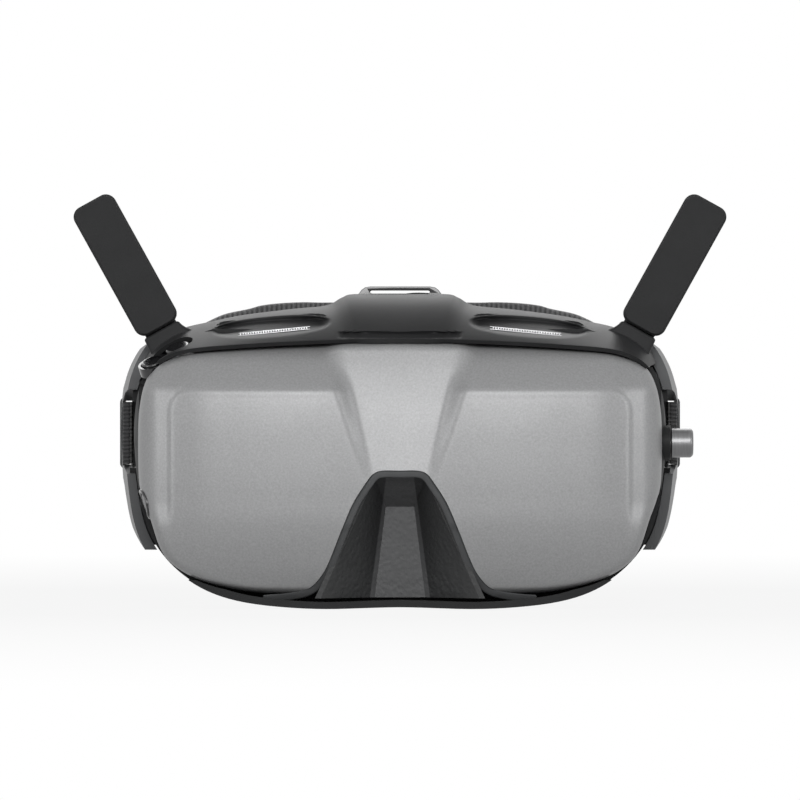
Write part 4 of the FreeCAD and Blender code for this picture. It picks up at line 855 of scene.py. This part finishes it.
# %% The top loop
LOOP = [(0, 101.75), (9.5, 101.75), (11.2, 101.45), (12.3, 100.6), (13.1, 99.5), (14.4, 98.7), (14.4, 97.2), (0, 97.2)]
SLOT = [(0, 100.45), (9.0, 100.45), (9.5, 100.2), (9.5, 99.8), (9.0, 99.5), (0, 99.5)]
loop_low, loop_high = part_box("top_loop")
loop_front = (loop_low[1] - depth(0)) / MM
loop_back = (loop_high[1] - depth(0)) / MM
loop = prism_from_loop("top_loop_shown", mirrored(LOOP), loop_front, loop_back)
subtract(loop, prism_from_loop("slot_tool", mirrored(SLOT), loop_front - 5, loop_back + 5))
round_edges(loop, 0.35)
smooth_to(loop, 40)
finish_piece(loop, "gloss_black", "root", "top_loop")
print("loop:", len(loop.data.polygons), "faces")


# %% [markdown]
# Small parts that close the joins. A glossy rim seats the control pod, dark strips fill the gap behind the arm plates,
# and a rounded wedge carries each aerial mount down into the top shell. None of them moves.

# %% The seat round the control pod
def long_round(half, radius, count=48):
    """Points of a long rounded outline: two half circles joined by straight sides."""
    turns = [math.tau * (k + 0.5) / count for k in range(count)]
    return [(math.copysign(half, math.cos(t)) + radius * math.cos(t), radius * math.sin(t)) for t in turns]


def make_pod_seat():
    """A glossy rim that lines the opening and rises at its back, where the shell is higher."""
    inner, outer = long_round(POD_HALF, 5.0), long_round(POD_HALF, 6.0)
    deselect()
    bpy.ops.mesh.primitive_circle_add(vertices=len(inner), radius=1, fill_type="NOTHING")
    seat = bpy.context.object
    seat.name = "pod_seat"
    for v, (x, y) in zip(seat.data.vertices, inner):
        v.co = (x * MM, y * MM, -5 * MM)
    for level, points in ((1, inner), (1, outer), (-5, outer)):
        bpy.ops.object.mode_set(mode="EDIT")
        bpy.ops.mesh.extrude_edges_move(TRANSFORM_OT_translate={"value": (0, 0, 0)})
        bpy.ops.object.mode_set(mode="OBJECT")
        newest = list(seat.data.vertices)[-len(points):]
        for v, (x, y) in zip(newest, points):
            rise = 3.4 * max(0, y / 6) if level > 0 else 0
            v.co = (x * MM, y * MM, (level * 0.7 + rise) * MM)
    edit_all(seat, (bpy.ops.mesh.bridge_edge_loops, {}), (bpy.ops.mesh.remove_doubles, {"threshold": 1e-6}), AGREE)
    seat.data.transform(pod_turn())
    smooth_to(seat, 40)
    return finish_piece(seat, "gloss_black", "root")


# %% The liners behind the arm plates
def grown_outline(grow, low, high, side, count=40):
    """Points of the housing's outline, grown outwards, between two heights on one side."""
    heights = np.linspace(low, high, count)
    angles = np.linspace(-math.pi / 2, math.pi / 2, 721)
    reach = BODY.at(angles) + grow
    z = BODY.middle[1] + reach * np.sin(angles)
    x = reach * np.cos(angles)
    return [(side * float(np.interp(h, z, x)), float(h)) for h in heights]


def make_liners():
    """Dark strips that close the gap between the housing and each arm plate."""
    strips = []
    for side in (-1, 1):
        for low, high, grow in ((19.5, 44, 2.3), (65, 84, 1.6)):
            outer, inner = grown_outline(grow, low, high, side), grown_outline(-0.8, low, high, side)
            strips.append(band_between("liner", outer, inner, 46.5, 54))
    liners = join(strips, "arm_liners")
    smooth_to(liners, 40)
    return finish_piece(liners, "shell_dark", "root")


# %% The shoulders under the aerials
AERIAL_LEAN = math.radians(29)


def make_shoulder(side, name):
    """The mount, with a rounded wedge below the blade that widens into the top shell."""
    softened("aerial_mount_" + name, 0.5)
    pin = node_middle("aerial_pin_" + name)
    turn = Matrix.Translation(pin) @ Matrix.Rotation(side * AERIAL_LEAN, 4, "Y")
    deselect()
    bpy.ops.mesh.primitive_cube_add(size=2)
    wedge = bpy.context.object
    edit_all(wedge, (bpy.ops.mesh.subdivide, {"number_cuts": 5}))
    for v in wedge.data.vertices:
        x, y, z = v.co
        down = (1 - z) / 2
        wide = 6.2 + 4.2 * down ** 2
        deep = 2.7 + 3.4 * down ** 1.5
        inwards = -side * 3.6 * down ** 2
        v.co = Vector((x * wide + inwards, y * deep - 5.4 + 1.6 * down, -4.4 - 8.5 * down)) * MM
    round_edges(wedge, 1.9, 5, 40)
    smooth = wedge.modifiers.new("smooth", "SUBSURF")
    smooth.levels = smooth.render_levels = 1
    apply_all(wedge)
    wedge.data.transform(turn)
    finish_piece(wedge, "shell_dark", "root")
    choose(wedge)
    bpy.ops.object.shade_smooth()
    wedge.name = "aerial_shoulder_" + name


make_pod_seat()
make_liners()
for sign, name in ((1, "left"), (-1, "right")):
    make_shoulder(sign, name)
print("seat, liners and shoulders made")


# %% [markdown]
# Everything else with edges. The aerials, the arms, the straps, the knob, the pod, the pack, the eyepieces and the
# housing are bevelled copies of their CAD nodes, so each keeps its exact place and motion.

# %% Bevelled copies of the firm pieces
BEVELS = {"main_housing": 0.5, "face_plate": 0.4, "dial_collar": 0.25, "ipd_dial": 0.3,
          "control_pod": 0.25, "stick_cap": 0.15, "record_key": 0.15,
          "pack_case": 1.3, "power_key": 0.3, "pack_lid": 0.3, "fan_frame": 0.3, "nose_cover": 0.3}
KEY_ROOM = 0.97              # the record key's size, so that it keeps a hair of room in its well when it is pressed
for side in ("left", "right"):
    BEVELS.update({"aerial_blade_" + side: 0.5, "aerial_cap_" + side: 0.35, "side_arm_" + side: 0.45,
                   "strap_" + side: 0.5, "eyepiece_barrel_" + side: 0.3})
for node, width in BEVELS.items():
    piece = softened(node, width)
    if node == "record_key":
        middle = node_middle(node)
        piece.data.transform(Matrix.Translation(middle) @ Matrix.Scale(KEY_ROOM, 4) @ Matrix.Translation(-middle))
print("bevelled:", len(BEVELS))


# %% [markdown]
# The pads. The face foam and the rear pad are soft and covered in knitted cloth, so a plain solid would look wrong.
# Each starts as a copy of its CAD solid, a little smaller, rebuilt with even faces. Cloth with air pressure then
# swells it into a crowned pad; the mounting side of the face foam is held. The face foam then gets a pressed and
# stitched seam, and the rear pad two sewn channels.

# %% A helper that swells a pad
CLOTH_STEPS = 20


def plump(node, name, voxel, shrink, cap, held):
    """A swollen pad in the place of a CAD soft solid. held picks the points that are glued down."""
    pad = bpy.data.objects.new(name, nodes[node].data.copy())
    bpy.context.collection.objects.link(pad)
    edit_all(pad, (bpy.ops.mesh.remove_doubles, {"threshold": SEAM_GAP}))
    remesh = pad.modifiers.new("remesh", "REMESH")
    remesh.mode, remesh.voxel_size = "VOXEL", voxel * MM
    smooth = pad.modifiers.new("smooth", "SMOOTH")
    smooth.factor, smooth.iterations = 0.5, 4
    inward = pad.modifiers.new("inward", "DISPLACE")
    inward.mid_level, inward.strength = 0.0, -shrink * MM
    apply_all(pad)
    start = places_of(pad)
    group = pad.vertex_groups.new(name="held")
    group.add([int(i) for i in np.nonzero(held(start))[0]], 1.0, "REPLACE")
    cloth = pad.modifiers.new("cloth", "CLOTH")
    cloth.settings.use_pressure = True
    cloth.settings.uniform_pressure_force = 4
    cloth.settings.effector_weights.gravity = 0
    cloth.settings.vertex_group_mass = "held"
    for step in range(1, CLOTH_STEPS + 1):
        bpy.context.scene.frame_set(step)
    apply_all(pad)
    bpy.context.scene.frame_set(1)
    moved = places_of(pad) - start
    length = np.linalg.norm(moved, axis=1, keepdims=True)
    set_places(pad, start + moved * np.minimum(1, cap * MM / np.maximum(length, 1e-9)))
    calm = pad.modifiers.new("calm", "SMOOTH")
    calm.factor, calm.iterations = 0.5, 3
    apply_all(pad)
    print(name, "swelled by up to", round(float(length.max()) * 1000, 1), "mm before its cap")
    finer = pad.modifiers.new("finer", "SUBSURF")
    finer.levels = finer.render_levels = 2
    apply_all(pad)
    low, high = (np.array(c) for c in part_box(node))
    set_places(pad, np.clip(places_of(pad), low, high))
    bpy.ops.object.shade_smooth()
    return pad


def stitch_row(name, spots, slot, body, length, radius=0.22):
    """A row of short threads, each laid along the line between two spots."""
    threads = []
    for a, b in zip(spots, spots[1:]):
        along = b - a
        if along.length < 1e-5:
            continue
        deselect()
        bpy.ops.mesh.primitive_cylinder_add(vertices=6, radius=radius * MM, depth=length * MM)
        thread = bpy.context.object
        turn = along.to_track_quat("Z", "Y").to_matrix().to_4x4()
        thread.data.transform(Matrix.Translation((a + b) / 2) @ turn)
        threads.append(thread)
    return finish_piece(join(threads, name), slot, body)


# %% The face foam
BINS = 120                   # directions in which the reach of the pad is measured
SPOTS = 300                  # places along the seam


foam = plump("face_foam", "face_pad", 3.0, 0.3, 0.9, lambda p: p[:, 1] < depth(61.5))


def press_ring_seam(pad, inset, width, dip):
    """Presses a seam into the face side of the ring and returns the places along it."""
    p = places_of(pad)
    x, z = p[:, 0] / MM, p[:, 2] / MM - MIDDLE_HEIGHT
    angle, reach = np.arctan2(z, x), np.hypot(x, z)
    bins = ((angle + math.pi) / math.tau * BINS).astype(int) % BINS
    outer = np.array([reach[bins == k].max() if (bins == k).any() else 0 for k in range(BINS)])
    centres = (np.arange(BINS) + 0.5) / BINS * math.tau - math.pi
    edge = np.interp(angle, centres, outer, period=math.tau) - reach
    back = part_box("face_foam")[1][1]
    face = p[:, 1] > back - 5 * MM
    p[:, 1] -= face * dip * MM * np.exp(-((edge - inset) / width) ** 2)
    set_places(pad, p)
    line = []
    for k in range(SPOTS):
        turn = -math.pi + math.tau * k / SPOTS
        r = float(np.interp(turn, centres, outer, period=math.tau)) - inset
        start = Vector((r * math.cos(turn) * MM, 1, (MIDDLE_HEIGHT + r * math.sin(turn)) * MM))
        hit, spot, _, _ = pad.ray_cast(start, Vector((0, -1, 0)))
        if hit and spot.y > back - 7 * MM:
            line.append(spot)
    return line


seam = press_ring_seam(foam, 4.6, 0.9, 0.9)
finish_piece(foam, "foam_grey", "root", "face_foam")
stitch_row("face_stitches", seam, "strap_fabric", "root", 1.1)
print("seam spots:", len(seam))

# %% The rear pad
CHANNEL_AT, CHANNEL_DIP, CHANNEL_WIDTH = 17, 1.4, 1.3     # mm
rear = plump("rear_pad", "rear_pad_shown", 3.6, 0.7, 1.6, lambda p: np.zeros(len(p), bool))
p = places_of(rear)
for channel in (-CHANNEL_AT, CHANNEL_AT):
    p[:, 1] += CHANNEL_DIP * MM * np.exp(-((p[:, 0] / MM - channel) / CHANNEL_WIDTH) ** 2) * (p[:, 2] > 0)
set_places(rear, p)
finish_piece(rear, "foam_grey", body_of_node["rear_pad"], "rear_pad")
print("rear pad:", len(rear.data.polygons), "faces")


# %% [markdown]
# Light and camera. A broad soft lamp in front and above, one at each side and one behind, as in a studio, with a dark
# surround so that the curved shells show their form. The floor and backdrop are white where they are seen, straight
# or in a shiny or clear surface, and the floor keeps the object's shadow.

# %% Lamps and surround
def soft_lamp(name, place, aim, width, height, power):
    deselect()
    bpy.ops.object.light_add(type="AREA", location=place)
    lamp = bpy.context.object
    lamp.name = name
    lamp.data.shape, lamp.data.size, lamp.data.size_y, lamp.data.energy = "RECTANGLE", width, height, power
    lamp.rotation_euler = (Vector(aim) - Vector(place)).to_track_quat("-Z", "Y").to_euler()


def seen_directly(tree):
    """1 for the rays of the camera and for those that a shiny or clear surface sends on, else 0."""
    rays = tree.nodes.new("ShaderNodeLightPath").outputs
    shiny = maths(tree, "ADD", rays["Is Camera Ray"], rays["Is Glossy Ray"])
    return maths(tree, "ADD", shiny, rays["Is Transmission Ray"], clamp=True)


SURROUND = (0.08, 0.08, 0.081)      # the light of the room, where it is not seen straight
FLOOR_SIZE = 6.0                    # m
FLOOR_DROP = 0.2 * MM               # the floor lies this much below the object
FLOOR_GLOW = 0.9                    # share of plain white in the floor's look near the object, and 1 further off
GLOW_START, GLOW_RISE = 0.2, 1.6    # m from the object, and the rise for each metre
CAMERA_AWAY, CAMERA_HEIGHT = 2.6, 0.0656    # m
VIEW_WIDTH, VIEW_AT = 0.2535, 2.635         # m: how wide a view fills the picture, and how far off

soft_lamp("front_lamp", (0.0, -1.2, 0.46), (0, -0.08, 0.05), 0.8, 0.4, 7.8)
soft_lamp("left_lamp", (-1.0, -0.55, 0.17), (0, -0.05, 0.05), 0.3, 0.9, 4.8)
soft_lamp("right_lamp", (1.0, -0.55, 0.17), (0, -0.05, 0.05), 0.3, 0.9, 4.8)
soft_lamp("back_lamp", (0, 0.9, 0.75), (0, 0, 0.05), 0.9, 0.5, 4.5)

world = bpy.data.worlds.new("studio")
bpy.context.scene.world = world
world.use_nodes = True
tree = world.node_tree
back = tree.nodes["Background"]
mix = tree.nodes.new("ShaderNodeMix")
mix.data_type = "RGBA"
mix.inputs[6].default_value = (*SURROUND, 1)
mix.inputs[7].default_value = (1, 1, 1, 1)
link_all(tree, [(seen_directly(tree), mix.inputs[0]), (mix.outputs[2], back.inputs["Color"])])

# %% The floor: a matt pale sheet that takes the shadow, brightened to near white where it is seen
deselect()
bpy.ops.mesh.primitive_plane_add(size=FLOOR_SIZE, location=(0, 0, -FLOOR_DROP))
floor = bpy.context.object
floor.name = "floor"
floor_look = bpy.data.materials.new("floor_white")
floor_look.use_nodes = True
tree = floor_look.node_tree
sheet = tree.nodes["Principled BSDF"]
sheet.inputs["Base Color"].default_value = (0.35, 0.35, 0.35, 1)
sheet.inputs["Roughness"].default_value = 1
sheet.inputs["Specular IOR Level"].default_value = 0
glow = tree.nodes.new("ShaderNodeEmission")
blend = tree.nodes.new("ShaderNodeMixShader")
away = tree.nodes.new("ShaderNodeVectorMath")
away.operation = "LENGTH"
tree.links.new(tree.nodes.new("ShaderNodeTexCoord").outputs["Object"], away.inputs[0])
far = maths(tree, "MULTIPLY", maths(tree, "SUBTRACT", away.outputs["Value"], GLOW_START), GLOW_RISE, clamp=True)
glow_here = maths(tree, "ADD", FLOOR_GLOW, maths(tree, "MULTIPLY", far, 1 - FLOOR_GLOW))
share = maths(tree, "MULTIPLY", seen_directly(tree), glow_here)
link_all(tree, [(share, blend.inputs[0]), (sheet.outputs[0], blend.inputs[1]),
                (glow.outputs[0], blend.inputs[2]),
                (blend.outputs[0], tree.nodes["Material Output"].inputs["Surface"])])
floor.data.materials.append(floor_look)

# %% The camera
deselect()
bpy.ops.object.camera_add(location=(0, FRONT - CAMERA_AWAY, CAMERA_HEIGHT), rotation=(math.pi / 2, 0, 0))
camera = bpy.context.object
camera.name = "front_camera"
camera.data.lens_unit = "FOV"
camera.data.angle = 2 * math.atan(VIEW_WIDTH / 2 / VIEW_AT)
bpy.context.scene.camera = camera
bpy.context.scene.view_settings.view_transform = "Standard"
